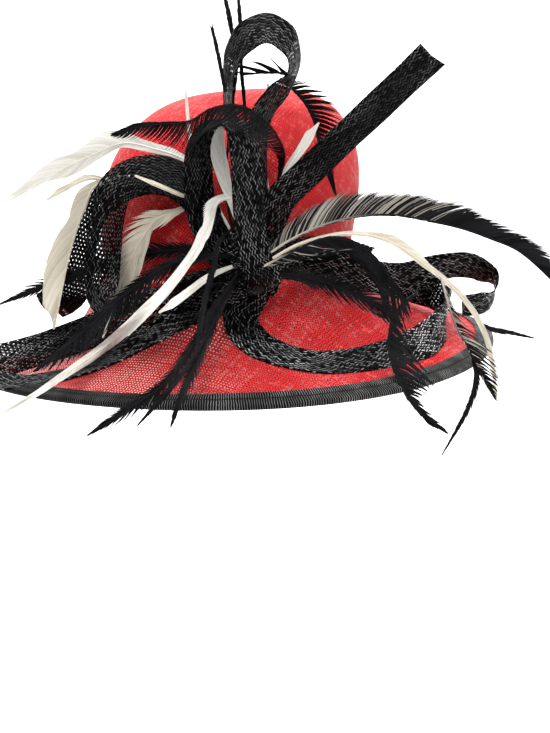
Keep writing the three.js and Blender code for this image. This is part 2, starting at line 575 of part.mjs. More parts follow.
// Routes of the feathers, from the root at the bow to the tip. left and right are the vane's widths in
// millimetres on the two sides of the quill, looking along it from the front.
const feathers = {
  feather_arch_black: {
    tone: "black",
    notch: 0.25,
    rows: [
      { x: 262, y: 244, front: 112, left: 1, right: 1 },
      { x: 270, y: 210, front: 109, left: 1, right: 1 },
      { x: 279, y: 180, front: 110, left: 2, right: 1, tilt: 10 },
      { x: 284, y: 157, front: 117, left: 8, right: 1, tilt: 14 },
      { x: 278, y: 138, front: 130, left: 14, right: 1, tilt: 18 },
      { x: 263, y: 119, front: 146, left: 19, right: 1, tilt: 20 },
      { x: 239, y: 106, front: 159, left: 21, right: 1, tilt: 20 },
      { x: 214, y: 108, front: 158, left: 20, right: 1, tilt: 16 },
      { x: 190, y: 121, front: 146, left: 15, right: 1, tilt: 10 },
      { x: 166, y: 124, front: 134, left: 11, right: 2, tilt: 5 },
      { x: 142, y: 126, front: 126, left: 7, right: 3 },
      { x: 112, y: 134, front: 120, left: 0.6, right: 0.6 },
    ],
  },
  feather_white_long: {
    tone: "white",
    rows: [
      { x: 250, y: 250, front: 132, left: 1, right: 1 },
      { x: 245, y: 220, front: 134, left: 1, right: 1 },
      { x: 234, y: 199, front: 137, left: 2, right: 2 },
      { x: 219, y: 201, front: 140, left: 4, right: 4 },
      { x: 209, y: 221, front: 142, left: 5, right: 4.5 },
      { x: 196, y: 248, front: 144, left: 4, right: 4 },
      { x: 172, y: 282, front: 149, left: 5, right: 5 },
      { x: 140, y: 316, front: 161, left: 5.5, right: 5.5 },
      { x: 104, y: 347, height: 12, tilt: 0, left: 5, right: 5 },
      { x: 64, y: 375, height: 12, tilt: 0, left: 4, right: 4 },
      { x: 26, y: 400, front: 196, left: 2.5, right: 2.5 },
      { x: -4, y: 416, front: 198, left: 0.5, right: 0.5 },
    ],
  },
  feather_white_up: {
    tone: "white",
    rows: [
      { x: 246, y: 248, front: 130, left: 1, right: 1 },
      { x: 236, y: 215, front: 128, left: 3, right: 3 },
      { x: 227, y: 184, front: 127, left: 6, right: 5 },
      { x: 222, y: 155, front: 127, left: 5, right: 4 },
      { x: 222, y: 124, front: 128, left: 0.5, right: 0.5 },
    ],
  },
  feather_white_left: {
    tone: "white",
    rows: [
      { x: 236, y: 240, front: 112, left: 1, right: 1 },
      { x: 216, y: 204, front: 108, left: 1, right: 1 },
      { x: 200, y: 172, front: 106, left: 2, right: 2 },
      { x: 182, y: 158, front: 101, left: 4, right: 4 },
      { x: 155, y: 149, front: 94, left: 5, right: 6 },
      { x: 124, y: 143, front: 88, left: 8, right: 8 },
      { x: 92, y: 155, front: 84, left: 9, right: 9 },
      { x: 62, y: 169, front: 82, left: 5, right: 8 },
      { x: 34, y: 185, front: 80, left: 3.5, right: 5 },
      { x: -5, y: 208, front: 80, left: 0.5, right: 0.5 },
    ],
  },
  feather_cream_side: {
    tone: "cream",
    rows: [
      { x: 118, y: 184, front: 100, left: 2, right: 2 },
      { x: 92, y: 178, front: 98, left: 3, right: 3 },
      { x: 70, y: 186, front: 96, left: 3.5, right: 3.5 },
      { x: 47, y: 200, front: 96, left: 0.5, right: 0.5 },
    ],
  },
  feather_cream_down: {
    tone: "cream",
    rows: [
      { x: 130, y: 176, front: 112, left: 1, right: 1 },
      { x: 112, y: 178, front: 103, left: 1, right: 2 },
      { x: 93, y: 188, front: 98, left: 1.5, right: 6 },
      { x: 85, y: 206, front: 96, left: 1.5, right: 12 },
      { x: 76, y: 230, front: 94, left: 1, right: 14 },
      { x: 67, y: 263, front: 94, left: 1, right: 12 },
      { x: 60, y: 297, front: 96, left: 0.8, right: 5.5 },
      { x: 54, y: 328, front: 98, left: 0.5, right: 0.5 },
    ],
  },
  feather_cream_fan: {
    tone: "cream",
    notch: 0.15,
    rows: [
      { x: 194, y: 204, front: 105, left: 1, right: 1 },
      { x: 177, y: 211, front: 106, left: 7, right: 5 },
      { x: 157, y: 219, front: 104, left: 12, right: 9 },
      { x: 143, y: 237, front: 104, left: 13, right: 13 },
      { x: 131, y: 259, front: 103, left: 10, right: 9 },
      { x: 117, y: 296, front: 102, left: 5, right: 3 },
      { x: 103, y: 337, front: 106, left: 0.5, right: 0.5 },
    ],
  },
  feather_cream_slim: {
    tone: "cream",
    rows: [
      { x: 197, y: 200, front: 117, left: 1, right: 1 },
      { x: 184, y: 196, front: 123, left: 2, right: 2 },
      { x: 160, y: 186, front: 122, left: 2.5, right: 2.5 },
      { x: 136, y: 176, front: 120, left: 0.5, right: 0.5 },
    ],
  },
  feather_black_left: {
    tone: "black",
    notch: 0.25,
    rows: [
      { x: 230, y: 256, front: 110, left: 1, right: 1 },
      { x: 192, y: 250, front: 105, left: 5, right: 5 },
      { x: 150, y: 253, front: 95, left: 7, right: 7 },
      { x: 110, y: 264, front: 88, left: 7.5, right: 7.5 },
      { x: 74, y: 275, front: 86, left: 7.5, right: 7 },
      { x: 46, y: 285, front: 86, left: 5, right: 5 },
      { x: -2, y: 305, front: 86, left: 0.5, right: 0.5 },
    ],
  },
  feather_black_sweep: {
    tone: "black",
    notch: 0.2,
    rows: [
      { x: 244, y: 256, front: 134, left: 1, right: 1 },
      { x: 198, y: 256, front: 142, left: 7, right: 3 },
      { x: 163, y: 268, front: 142, left: 11, right: 4 },
      { x: 128, y: 292, front: 144, left: 12, right: 4 },
      { x: 98, y: 318, front: 152, left: 11, right: 4 },
      { x: 68, y: 345, front: 164, left: 7, right: 3 },
      { x: 34, y: 371, front: 176, left: 0.5, right: 0.5 },
    ],
  },
  feather_white_small: {
    tone: "white",
    rows: [
      { x: 244, y: 262, front: 132, left: 1, right: 1 },
      { x: 212, y: 275, front: 144, left: 4, right: 3 },
      { x: 186, y: 293, front: 150, left: 5, right: 4 },
      { x: 160, y: 312, front: 156, left: 0.5, right: 0.5 },
    ],
  },
  feather_drop_strand: {
    tone: "black",
    rows: [
      { x: 246, y: 250, front: 134, left: 1, right: 1 },
      { x: 236, y: 229, front: 143, left: 1, right: 1 },
      { x: 221, y: 240, front: 150, left: 2, right: 2 },
      { x: 214, y: 265, front: 153, left: 2.5, right: 2.5 },
      { x: 205, y: 300, front: 160, left: 2.5, right: 2.5 },
      { x: 199, y: 335, front: 172, left: 2, right: 2 },
      { x: 196, y: 362, front: 184, left: 0.5, right: 0.5 },
    ],
  },
  feather_drop_long: {
    tone: "black",
    notch: 0.3,
    rows: [
      { x: 245, y: 270, front: 132, left: 1, right: 1 },
      { x: 224, y: 300, front: 150, left: 3, right: 3 },
      { x: 208, y: 335, front: 166, left: 4.5, right: 4.5 },
      { x: 192, y: 372, front: 190, left: 4.5, right: 4.5 },
      { x: 180, y: 400, front: 206, left: 3, right: 3 },
      { x: 171, y: 426, front: 212, left: 0.5, right: 0.5 },
    ],
  },
  feather_drop_wide: {
    tone: "black",
    notch: 0.2,
    rows: [
      { x: 243, y: 266, front: 134, left: 1, right: 1 },
      { x: 212, y: 312, front: 158, left: 3, right: 3 },
      { x: 190, y: 350, front: 176, left: 4, right: 4 },
      { x: 164, y: 384, front: 200, left: 5, right: 4.5 },
      { x: 130, y: 408, front: 214, left: 5, right: 4.5 },
      { x: 88, y: 435, front: 218, left: 0.5, right: 0.5 },
    ],
  },
  feather_drop_slim: {
    tone: "black",
    rows: [
      { x: 209, y: 333, front: 165, left: 1, right: 1 },
      { x: 182, y: 374, front: 200, left: 2.5, right: 2.5 },
      { x: 160, y: 400, front: 216, left: 2.5, right: 2.5 },
      { x: 138, y: 425, front: 222, left: 0.5, right: 0.5 },
    ],
  },
  feather_right_long: {
    tone: "black",
    notch: 0.2,
    rows: [
      { x: 258, y: 262, front: 138, left: 1, right: 1 },
      { x: 288, y: 241, front: 137, left: 12, right: 1.5 },
      { x: 320, y: 226, front: 134, left: 16, right: 1.5 },
      { x: 360, y: 216, front: 128, left: 14, right: 1.5 },
      { x: 396, y: 215, front: 121, left: 16, right: 1.5 },
      { x: 426, y: 220, front: 114, left: 16, right: 1.5 },
      { x: 458, y: 227, front: 108, left: 12, right: 1.5 },
      { x: 490, y: 238, front: 102, left: 11, right: 1.5 },
      { x: 520, y: 252, front: 96, left: 11, right: 1 },
      { x: 566, y: 294, front: 90, left: 0.5, right: 0.5 },
    ],
  },
  feather_right_cream: {
    tone: "cream",
    rows: [
      { x: 260, y: 266, front: 142, left: 1, right: 1 },
      { x: 300, y: 244, front: 142, left: 1.5, right: 1.5 },
      { x: 344, y: 234, front: 138, left: 2.5, right: 2 },
      { x: 378, y: 237, front: 132, left: 5, right: 3 },
      { x: 402, y: 248, front: 126, left: 5, right: 4 },
      { x: 424, y: 264, front: 118, left: 3.5, right: 3 },
      { x: 442, y: 278, front: 112, left: 3.5, right: 3 },
      { x: 459, y: 294, front: 108, left: 3.5, right: 3 },
      { x: 473, y: 312, front: 106, left: 3.5, right: 3 },
      { x: 485, y: 336, front: 104, left: 3.5, right: 2.5 },
      { x: 492, y: 366, front: 102, left: 3, right: 2 },
      { x: 497, y: 401, front: 102, left: 0.5, right: 0.5 },
    ],
  },
  feather_right_thin: {
    tone: "white",
    rows: [
      { x: 398, y: 213, front: 118, left: 0.8, right: 0.8 },
      { x: 432, y: 206, front: 108, left: 1, right: 1 },
      { x: 470, y: 199, front: 104, left: 1.2, right: 1.2 },
      { x: 506, y: 189, front: 102, left: 1.2, right: 1.2 },
      { x: 538, y: 171, front: 100, left: 0.5, right: 0.5 },
    ],
  },
  feather_right_black: {
    tone: "black",
    notch: 0.12,
    rows: [
      { x: 260, y: 268, front: 146, left: 1, right: 2 },
      { x: 296, y: 250, front: 148, left: 1.5, right: 12 },
      { x: 330, y: 238, front: 146, left: 1.5, right: 20 },
      { x: 356, y: 244, front: 142, left: 2, right: 24 },
      { x: 379, y: 263, front: 138, left: 2, right: 22 },
      { x: 394, y: 284, front: 136, left: 2, right: 13 },
      { x: 409, y: 305, front: 136, left: 0.6, right: 0.6 },
    ],
  },
  feather_right_low: {
    tone: "black",
    notch: 0.15,
    rows: [
      { x: 262, y: 272, front: 138, left: 1, right: 1 },
      { x: 300, y: 276, front: 141, left: 6, right: 7 },
      { x: 340, y: 288, front: 146, left: 8, right: 8 },
      { x: 374, y: 304, front: 150, left: 6, right: 6 },
      { x: 402, y: 326, front: 156, left: 0.6, right: 0.6 },
    ],
  },
  feather_curl_black: {
    tone: "black",
    notch: 0.3,
    rows: [
      { x: 418, y: 292, front: 118, left: 1, right: 1 },
      { x: 404, y: 302, front: 128, left: 4, right: 1 },
      { x: 392, y: 322, front: 140, left: 15, right: 1 },
      { x: 389, y: 345, front: 150, left: 22, right: 1 },
      { x: 395, y: 370, front: 160, left: 20, right: 1.5 },
      { x: 408, y: 396, front: 168, left: 9, right: 2 },
      { x: 426, y: 417, front: 172, left: 3.5, right: 2.5 },
      { x: 447, y: 433, front: 174, left: 0.5, right: 0.5 },
    ],
  },
  feather_rim_mixed: {
    tone: "black",
    notch: 0.2,
    rows: [
      { x: 441, y: 277, front: 112.5, left: 0.8, right: 0.8 },
      { x: 448, y: 303, front: 113, left: 0.8, right: 0.8 },
      { x: 457, y: 328, front: 114, left: 5, right: 1 },
      { x: 468, y: 347, front: 120, left: 11, right: 1.5 },
      { x: 477, y: 366, front: 122, left: 9, right: 2 },
      { x: 486, y: 382, front: 122, left: 4, right: 2 },
      { x: 495, y: 399, front: 122, left: 0.5, right: 0.5 },
    ],
  },
  feather_rim_drop: {
    tone: "black",
    rows: [
      { x: 472, y: 356, front: 118, left: 1, right: 1 },
      { x: 476, y: 378, front: 122, left: 3, right: 2.5 },
      { x: 468, y: 408, front: 124, left: 2.5, right: 2.5 },
      { x: 442, y: 455, front: 126, left: 0.5, right: 0.5 },
    ],
  },
  feather_rim_spike: {
    tone: "black",
    rows: [
      { x: 478, y: 322, front: 103, left: 1, right: 1 },
      { x: 492, y: 329, front: 100, left: 2.5, right: 2.5 },
      { x: 512, y: 333, front: 98, left: 2, right: 2 },
      { x: 534, y: 338, front: 96, left: 0.5, right: 0.5 },
    ],
  },
  feather_crown_black: {
    tone: "black",
    notch: 0.3,
    rows: [
      { x: 336, y: 196, front: 84, left: 0.6, right: 0.6 },
      { x: 328, y: 168, front: 92, left: 2, right: 2 },
      { x: 320, y: 140, front: 96, left: 2, right: 6 },
      { x: 314, y: 120, front: 96, left: 1, right: 12 },
      { x: 306, y: 104, front: 96, left: 1, right: 13 },
      { x: 290, y: 86, front: 96, left: 1, right: 8 },
      { x: 280, y: 78, front: 96, left: 0.5, right: 0.5 },
    ],
  },
  feather_crown_white: {
    tone: "white",
    rows: [
      { x: 266, y: 208, front: 108, left: 1, right: 1 },
      { x: 280, y: 180, front: 106, left: 3, right: 3 },
      { x: 298, y: 154, front: 103, left: 6, right: 4 },
      { x: 318, y: 124, front: 98, left: 0.6, right: 0.6 },
    ],
  },
  feather_top_black: {
    tone: "black",
    notch: 0.35,
    rows: [
      { x: 296, y: 78, front: 120, left: 1, right: 1 },
      { x: 280, y: 73, front: 116, left: 1.5, right: 7 },
      { x: 262, y: 73, front: 114, left: 1, right: 7 },
      { x: 243, y: 75, front: 113, left: 0.5, right: 0.5 },
    ],
  },
  feather_top_tuft: {
    tone: "black",
    rows: [
      { x: 225, y: 92, front: 120, left: 1, right: 1 },
      { x: 220, y: 64, front: 118, left: 2, right: 2 },
      { x: 212, y: 28, front: 116, left: 1.5, right: 1.5 },
    ],
  },
  feather_tall_left: {
    tone: "black",
    rows: [
      { x: 234, y: 246, front: 112, left: 1, right: 1 },
      { x: 226, y: 180, front: 109, left: 1, right: 1 },
      { x: 232, y: 110, front: 110, left: 1.2, right: 1.2 },
      { x: 236, y: 62, front: 112, left: 2, right: 2 },
      { x: 230, y: 22, front: 112, left: 2.5, right: 2.5 },
      { x: 220, y: -26, front: 110, left: 0.5, right: 0.5 },
    ],
  },
  feather_tall_right: {
    tone: "black",
    rows: [
      { x: 250, y: 246, front: 112, left: 1, right: 1 },
      { x: 248, y: 180, front: 109, left: 1, right: 1 },
      { x: 245, y: 112, front: 110, left: 1.4, right: 1.4 },
      { x: 241, y: 62, front: 112, left: 2, right: 2 },
      { x: 240, y: 20, front: 112, left: 2, right: 2 },
      { x: 236, y: -32, front: 110, left: 0.5, right: 0.5 },
    ],
  },
  feather_slim_left: {
    tone: "white",
    rows: [
      { x: 198, y: 170, front: 105.5, left: 1, right: 1 },
      { x: 191, y: 142, front: 104, left: 1.5, right: 1.5 },
      { x: 188, y: 118, front: 102, left: 1.5, right: 1.5 },
      { x: 186, y: 93, front: 100, left: 0.8, right: 0.8 },
    ],
  },
  feather_slim_right: {
    tone: "white",
    rows: [
      { x: 271, y: 206, front: 109, left: 0.8, right: 0.8 },
      { x: 265, y: 165, front: 108, left: 0.8, right: 0.8 },
      { x: 266, y: 118, front: 105, left: 1.2, right: 1.2 },
      { x: 268, y: 85, front: 103, left: 0.6, right: 0.6 },
    ],
  },
};

const finishes = {
  red: { color: 0xc2182b, roughness: 0.75, metalness: 0 },
  black: { color: 0x121214, roughness: 0.6, metalness: 0 },
  ribbon: { color: 0x1a1a1c, roughness: 0.7, metalness: 0 },
  cream: { color: 0xefe6d2, roughness: 0.7, metalness: 0 },
  white: { color: 0xf6f4ee, roughness: 0.7, metalness: 0 },
};

// Solids for cutting: each piece is cut by its earlier neighbours, grown by the gap they keep.
function solidOf(geometry) {
  const bare = new THREE.BufferGeometry();
  bare.setAttribute("position", geometry.getAttribute("position"));
  bare.setIndex(geometry.getIndex());
  const merged = mergeVertices(bare, 1e-4);
  return new wasm.Manifold(new wasm.Mesh({
    numProp: 3,
    vertProperties: Float32Array.from(merged.getAttribute("position").array),
    triVerts: Uint32Array.from(merged.getIndex().array),
  }));
}

function geometryOf(solid) {
  const mesh = solid.getMesh();
  const geometry = new THREE.BufferGeometry();
  geometry.setAttribute("position", new THREE.Float32BufferAttribute(mesh.vertProperties, 3));
  geometry.setIndex(Array.from(mesh.triVerts));
  return geometry;
}

function boxesMeet(one, other) {
  const first = one.boundingBox();
  const second = other.boundingBox();
  return [0, 1, 2].every((axis) => first.min[axis] < second.max[axis] && second.min[axis] < first.max[axis]);
}

function largestPart(solid) {
  return solid.decompose().reduce((best, part) => (part.volume() > best.volume() ? part : best));
}

const hat = new THREE.Group();
const neighbours = [];

function addPiece(name, finish, build) {
  let solid = solidOf(build(0));
  for (const neighbour of neighbours) {
    if (boxesMeet(solid, neighbour)) solid = solid.subtract(neighbour);
  }
  solid = largestPart(solid);
  const mesh = new THREE.Mesh(geometryOf(solid), new THREE.MeshStandardMaterial(finishes[finish]));
  mesh.name = name;
  hat.add(mesh);
  neighbours.push(solidOf(build(gap)));
}

addPiece("crown_side", "red", crownSideGeometry);
addPiece("crown_tip", "red", crownTipGeometry);
addPiece("brim", "red", brimGeometry);
addPiece("edge_binding", "ribbon", bindingGeometry);
addPiece("knot", "black", knotGeometry);
for (const [name, strip] of Object.entries(strips)) {
  addPiece(name, "black", (grow) => stripGeometry(strip, grow));
}
for (const [name, feather] of Object.entries(feathers)) {
  addPiece(name, feather.tone, (grow) => featherGeometry(feather, grow));
}

export default hat;
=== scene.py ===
import bpy
import math
import random
from mathutils import Matrix, Vector


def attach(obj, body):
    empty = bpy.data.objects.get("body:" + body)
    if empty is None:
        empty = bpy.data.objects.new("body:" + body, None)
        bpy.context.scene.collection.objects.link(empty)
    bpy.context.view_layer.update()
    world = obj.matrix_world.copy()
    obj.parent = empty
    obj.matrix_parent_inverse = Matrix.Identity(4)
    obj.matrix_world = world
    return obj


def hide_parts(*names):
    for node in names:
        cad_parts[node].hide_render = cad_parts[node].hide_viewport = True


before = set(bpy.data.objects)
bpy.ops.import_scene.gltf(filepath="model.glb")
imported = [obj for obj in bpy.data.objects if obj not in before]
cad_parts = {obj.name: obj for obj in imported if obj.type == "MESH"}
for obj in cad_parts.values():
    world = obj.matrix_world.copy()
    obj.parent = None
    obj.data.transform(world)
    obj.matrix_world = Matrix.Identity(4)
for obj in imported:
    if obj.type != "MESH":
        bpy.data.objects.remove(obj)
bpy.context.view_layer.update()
bpy.ops.object.select_all(action="DESELECT")
random.seed(7)
print("frame loaded", len(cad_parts))

# Everything below is in millimetres until a mesh is written, and the origin is the head opening's centre.
toMetres = 0.001

# where the photograph was taken from
viewSettings = {
    "focalLength": 1300,
    "middleX": 275,
    "middleY": 366.5,
    "frameHeight": 733,
    "distance": 927.5,
    "elevation": 5.12,
    "roll": -4.22,
    "aim": (27.5, 0, -80.4),
    "sensor": 36,
}
viewElevation = math.radians(viewSettings["elevation"])
eye = Vector((0, -math.cos(viewElevation), math.sin(viewElevation))) * viewSettings["distance"]
sightForward = (Vector(viewSettings["aim"]) - eye).normalized()
levelRight = sightForward.cross(Vector((0, 0, 1))).normalized()
sightRight = Matrix.Rotation(-math.radians(viewSettings["roll"]), 3, sightForward) @ levelRight
sightUp = sightRight.cross(sightForward)

cameraData = bpy.data.cameras.new("camera")
cameraData.sensor_width = viewSettings["sensor"]
cameraData.lens = viewSettings["focalLength"] * viewSettings["sensor"] / viewSettings["frameHeight"]
camera = bpy.data.objects.new("camera", cameraData)
bpy.context.scene.collection.objects.link(camera)
turn = Matrix((sightRight, sightUp, -sightForward)).transposed().to_4x4()
camera.matrix_world = Matrix.Translation(eye * toMetres) @ turn
bpy.context.scene.camera = camera

# the hat's own sizes
hatSizes = {
    "headHalfWidth": 86,
    "headHalfLength": 100,
    "crownHeight": 116,
    "crownLean": 18,
    "crownLeanPower": 1.3,
    "crownBulge": 0.075,
    "crownBulgeSpan": 1.1,
    "crownSquareness": 3.2,
    "brimWidth": 94.5,
    "brimDrop": 65.4,
    "brimRun": 115,
    "brimShift": 1,
    "bellShare": 0.4,
    "bellLeftward": 0.5,
    "bellPower": 3.5,
    "waveAcross": -0.028,
    "waveSkew": -0.072,
    "wall": 1.5,
    "gap": 0.3,
}

# how far and how finely places are looked for: shares of the brim, then millimetres in front of the crown
searchLook = {
    "innerShare": -0.6,
    "outerShare": 1.6,
    "shareHalvings": 26,
    "slopeReach": 0.01,
    "nearest": 290,
    "farthest": 10,
    "stride": 3,
    "frontHalvings": 20,
}
# how finely a route is walked, and how close two corners of a sheet are joined, in metres
routeLook = {"steps": 24, "least": 6, "reach": 0.01, "shortest": 1e-4, "weld": 0.00001}


def seenInFront(px, py, front):
    line = sightForward.copy()
    line += sightRight * ((px - viewSettings["middleX"]) / viewSettings["focalLength"])
    line += sightUp * ((viewSettings["middleY"] - py) / viewSettings["focalLength"])
    return eye + line * ((-front - eye.y) / line.y)


def brimFall(angle, share):
    bell = 1 - max(1 - share, 0) ** hatSizes["bellPower"]
    bellShare = hatSizes["bellShare"] + hatSizes["bellLeftward"] * max(-math.cos(angle), 0)
    profile = (1 - bellShare) * share + bellShare * bell
    wave = 1 + hatSizes["waveAcross"] * math.cos(2 * angle) + hatSizes["waveSkew"] * math.sin(2 * angle)
    return -hatSizes["brimDrop"] * profile * wave


def brimSlope(angle, share):
    reach = searchLook["slopeReach"]
    fall = brimFall(angle, share - reach) - brimFall(angle, share + reach)
    return math.atan2(fall, 2 * reach * hatSizes["brimWidth"])


def brimPoint(angle, share, raised):
    slope = brimSlope(angle, share)
    outward = raised * math.sin(slope)
    spread = hatSizes["brimWidth"] * share + outward
    return Vector((
        (hatSizes["headHalfWidth"] + spread) * math.cos(angle) + hatSizes["brimShift"] * share,
        (hatSizes["headHalfLength"] + spread) * math.sin(angle),
        brimFall(angle, share) + raised * math.cos(slope),
    ))


# the brim's share and angle under a place, by halving
def brimUnder(x, y):
    low, high = searchLook["innerShare"], searchLook["outerShare"]
    for step in range(searchLook["shareHalvings"]):
        share = (low + high) / 2
        spread = hatSizes["brimWidth"] * share
        across = (x - hatSizes["brimShift"] * share) / (hatSizes["headHalfWidth"] + spread)
        along = y / (hatSizes["headHalfLength"] + spread)
        if across * across + along * along > 1:
            low = share
        else:
            high = share
    return share, math.atan2(along, across)


def brimNormal(x, y):
    share, angle = brimUnder(x, y)
    slope = brimSlope(angle, share)
    outward = Vector((x / hatSizes["headHalfWidth"], y / hatSizes["headHalfLength"], 0)).normalized()
    outward *= math.sin(slope)
    outward.z = math.cos(slope)
    return outward


# where a pixel's line of sight comes down to a height above the brim
def seenAboveBrim(px, py, height):
    def heightAt(front):
        spot = seenInFront(px, py, front)
        share, angle = brimUnder(spot.x, spot.y)
        return (spot.z - brimFall(angle, share)) * math.cos(brimSlope(angle, share)) - height

    near, stride = searchLook["nearest"], searchLook["stride"]
    while near > searchLook["farthest"] and heightAt(near - stride) > 0:
        near -= stride
    far = near - stride
    for step in range(searchLook["frontHalvings"]):
        middle = (near + far) / 2
        if heightAt(middle) > 0:
            near = middle
        else:
            far = middle
    return seenInFront(px, py, far)


def crownPoint(angle, climb):
    ring = max(math.cos(climb), 0) ** (2 / hatSizes["crownSquareness"])
    rise = math.sin(climb) ** (2 / hatSizes["crownSquareness"])
    swell = 1 + hatSizes["crownBulge"] * math.sin(math.pi * min(rise / hatSizes["crownBulgeSpan"], 1))
    lean = hatSizes["crownLean"] * rise ** hatSizes["crownLeanPower"]
    return Vector((
        hatSizes["headHalfWidth"] * ring * swell * math.cos(angle) + lean,
        hatSizes["headHalfLength"] * ring * swell * math.sin(angle),
        hatSizes["crownHeight"] * rise,
    ))


# A row of a route: x and y are the middle of the strip or quill in the photograph's pixels. seen takes
# millimetres in front of the crown's axis, laid takes millimetres above the brim. left and right are a
# vane's widths on the two sides of its quill, looking along it from the front. tilt turns the width away
# from the camera's plane, lean turns it up from the brim.
def seen(x, y, front, left=0, right=0, **turned):
    return dict(x=x, y=y, front=front, left=left, right=right, **turned)


def laid(x, y, height, left=0, right=0, **turned):
    return dict(x=x, y=y, height=height, left=left, right=right, **turned)


def rowPlace(row):
    if "height" in row:
        return seenAboveBrim(row["x"], row["y"], row["height"])
    return seenInFront(row["x"], row["y"], row["front"])


def rowWidthway(row, place, tangent):
    if "height" in row and "tilt" not in row:
        normal = brimNormal(place.x, place.y)
        sideways = normal.cross(tangent).normalized()
        lean = math.radians(row["lean"])
        return (sideways * math.cos(lean) + normal * math.sin(lean)).normalized()
    line = (place - eye).normalized()
    leftward = tangent.cross(line).normalized()
    nearward = tangent.cross(leftward).normalized()
    tilt = math.radians(row.get("tilt", 0))
    return leftward * math.cos(tilt) + nearward * math.sin(tilt)


# a centripetal curve through the rows
def curvePoint(places, at):
    last = len(places) - 1
    row = min(int(at), last - 1)
    share = at - row
    p1, p2 = places[row], places[row + 1]
    p0 = places[row - 1] if row > 0 else p1 * 2 - p2
    p3 = places[row + 2] if row + 2 <= last else p2 * 2 - p1
    d0 = max((p1 - p0).length, routeLook["shortest"]) ** 0.5
    d1 = max((p2 - p1).length, routeLook["shortest"]) ** 0.5
    d2 = max((p3 - p2).length, routeLook["shortest"]) ** 0.5
    t1 = ((p1 - p0) / d0 - (p2 - p0) / (d0 + d1) + (p2 - p1) / d1) * d1
    t2 = ((p2 - p1) / d1 - (p3 - p1) / (d1 + d2) + (p3 - p2) / d2) * d1
    return (
        p1
        + t1 * share
        + (p1 * -3 + p2 * 3 - t1 * 2 - t2) * share ** 2
        + (p1 * 2 - p2 * 2 + t1 + t2) * share ** 3
    )


def curveTangent(places, at):
    before = max(at - routeLook["reach"], 0)
    after = min(at + routeLook["reach"], len(places) - 1)
    return (curvePoint(places, after) - curvePoint(places, before)).normalized()


# stations at even spacing along a route: row number, centre, direction, widthway, face and length so far
def stationsAlong(rows, spacing):
    places = [rowPlace(row) for row in rows]
    last = len(rows) - 1
    widthways = [rowWidthway(row, places[n], curveTangent(places, n)) for n, row in enumerate(rows)]
    fine = last * routeLook["steps"]
    points = [curvePoint(places, step / routeLook["steps"]) for step in range(fine + 1)]
    lengths = [0]
    for before, after in zip(points, points[1:]):
        lengths.append(lengths[-1] + (after - before).length)
    count = max(int(lengths[-1] / spacing), routeLook["least"])
    stations = []
    step = 0
    for number in range(count + 1):
        wanted = lengths[-1] * number / count
        while step < fine - 1 and lengths[step + 1] < wanted:
            step += 1
        part = (wanted - lengths[step]) / max(lengths[step + 1] - lengths[step], 1e-6)
        at = min((step + part) / routeLook["steps"], last)
        row = min(int(at), last - 1)
        # the width turns half evenly, half eased from row to row
        blend = at - row
        blend = blend * blend * (3 - 2 * blend) * 0.5 + blend * 0.5
        tangent = curveTangent(places, at)
        widthway = widthways[row].lerp(widthways[row + 1], blend)
        widthway = (widthway - tangent * widthway.dot(tangent)).normalized()
        stations.append({
            "at": at,
            "centre": curvePoint(places, at),
            "tangent": tangent,
            "widthway": widthway,
            "face": widthway.cross(tangent),
            "length": wanted,
        })
    return stations


def valueAt(rows, name, at):
    row = min(int(at), len(rows) - 2)
    share = at - row
    return rows[row][name] * (1 - share) + rows[row + 1][name] * share


def finishPiece(piece, name, slotName, material, *nodes):
    piece.name = name
    piece.data.name = name
    piece.data.materials.clear()
    piece.data.materials.append(material)
    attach(piece, "root")
    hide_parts(*nodes)


# a walled grid whose corners place(i, j) puts and whose map clothAt(i, j) gives, both in millimetres;
# shellOffset 0 thickens it both ways and -1 inwards, and joined welds its open ends
def makeSheet(along, across, place, clothAt, wall, shellOffset=0.0, joined=False):
    bpy.ops.object.select_all(action="DESELECT")
    bpy.ops.mesh.primitive_grid_add(x_subdivisions=along, y_subdivisions=across, size=1, calc_uvs=True)
    piece = bpy.context.object
    mesh = piece.data
    index = []
    for vertex in mesh.vertices:
        i = round((vertex.co.x + 0.5) * along)
        j = round((vertex.co.y + 0.5) * across)
        index.append((i, j))
    for vertex, (i, j) in zip(mesh.vertices, index):
        vertex.co = place(i, j) * toMetres
    cloth = mesh.uv_layers.active.data
    for loop in mesh.loops:
        u, v = clothAt(*index[loop.vertex_index])
        cloth[loop.index].uv = (u * toMetres, v * toMetres)
    bpy.ops.object.mode_set(mode="EDIT")
    bpy.ops.mesh.select_all(action="SELECT")
    if joined:
        bpy.ops.mesh.remove_doubles(threshold=routeLook["weld"])
    bpy.ops.mesh.normals_make_consistent(inside=False)
    bpy.ops.object.mode_set(mode="OBJECT")
    bpy.ops.object.modifier_add(type="SOLIDIFY")
    shell = piece.modifiers[-1]
    shell.thickness = wall * toMetres
    shell.offset = shellOffset
    bpy.ops.object.modifier_apply(modifier=shell.name)
    bpy.ops.object.shade_smooth()
    return piece


# materials: small helpers for node trees
def addNode(tree, kind, settings, inputs):
    node = tree.nodes.new(kind)
    for name, value in settings.items():
        setattr(node, name, value)
    for socket, value in inputs.items():
        if isinstance(value, bpy.types.NodeSocket):
            tree.links.new(value, node.inputs[socket])
        else:
            node.inputs[socket].default_value = value
    return node


def calc(tree, operation, first, second=0.0):
    return addNode(tree, "ShaderNodeMath", {"operation": operation}, {0: first, 1: second}).outputs[0]


def times(tree, first, second):
    return calc(tree, "MULTIPLY", first, second)


def remap(tree, value, low, high, newLow=0.0, newHigh=1.0):
    node = addNode(tree, "ShaderNodeMapRange", {"interpolation_type": "SMOOTHSTEP"},
                   {"Value": value, "From Min": low, "From Max": high, "To Min": newLow, "To Max": newHigh})
    return node.outputs[0]


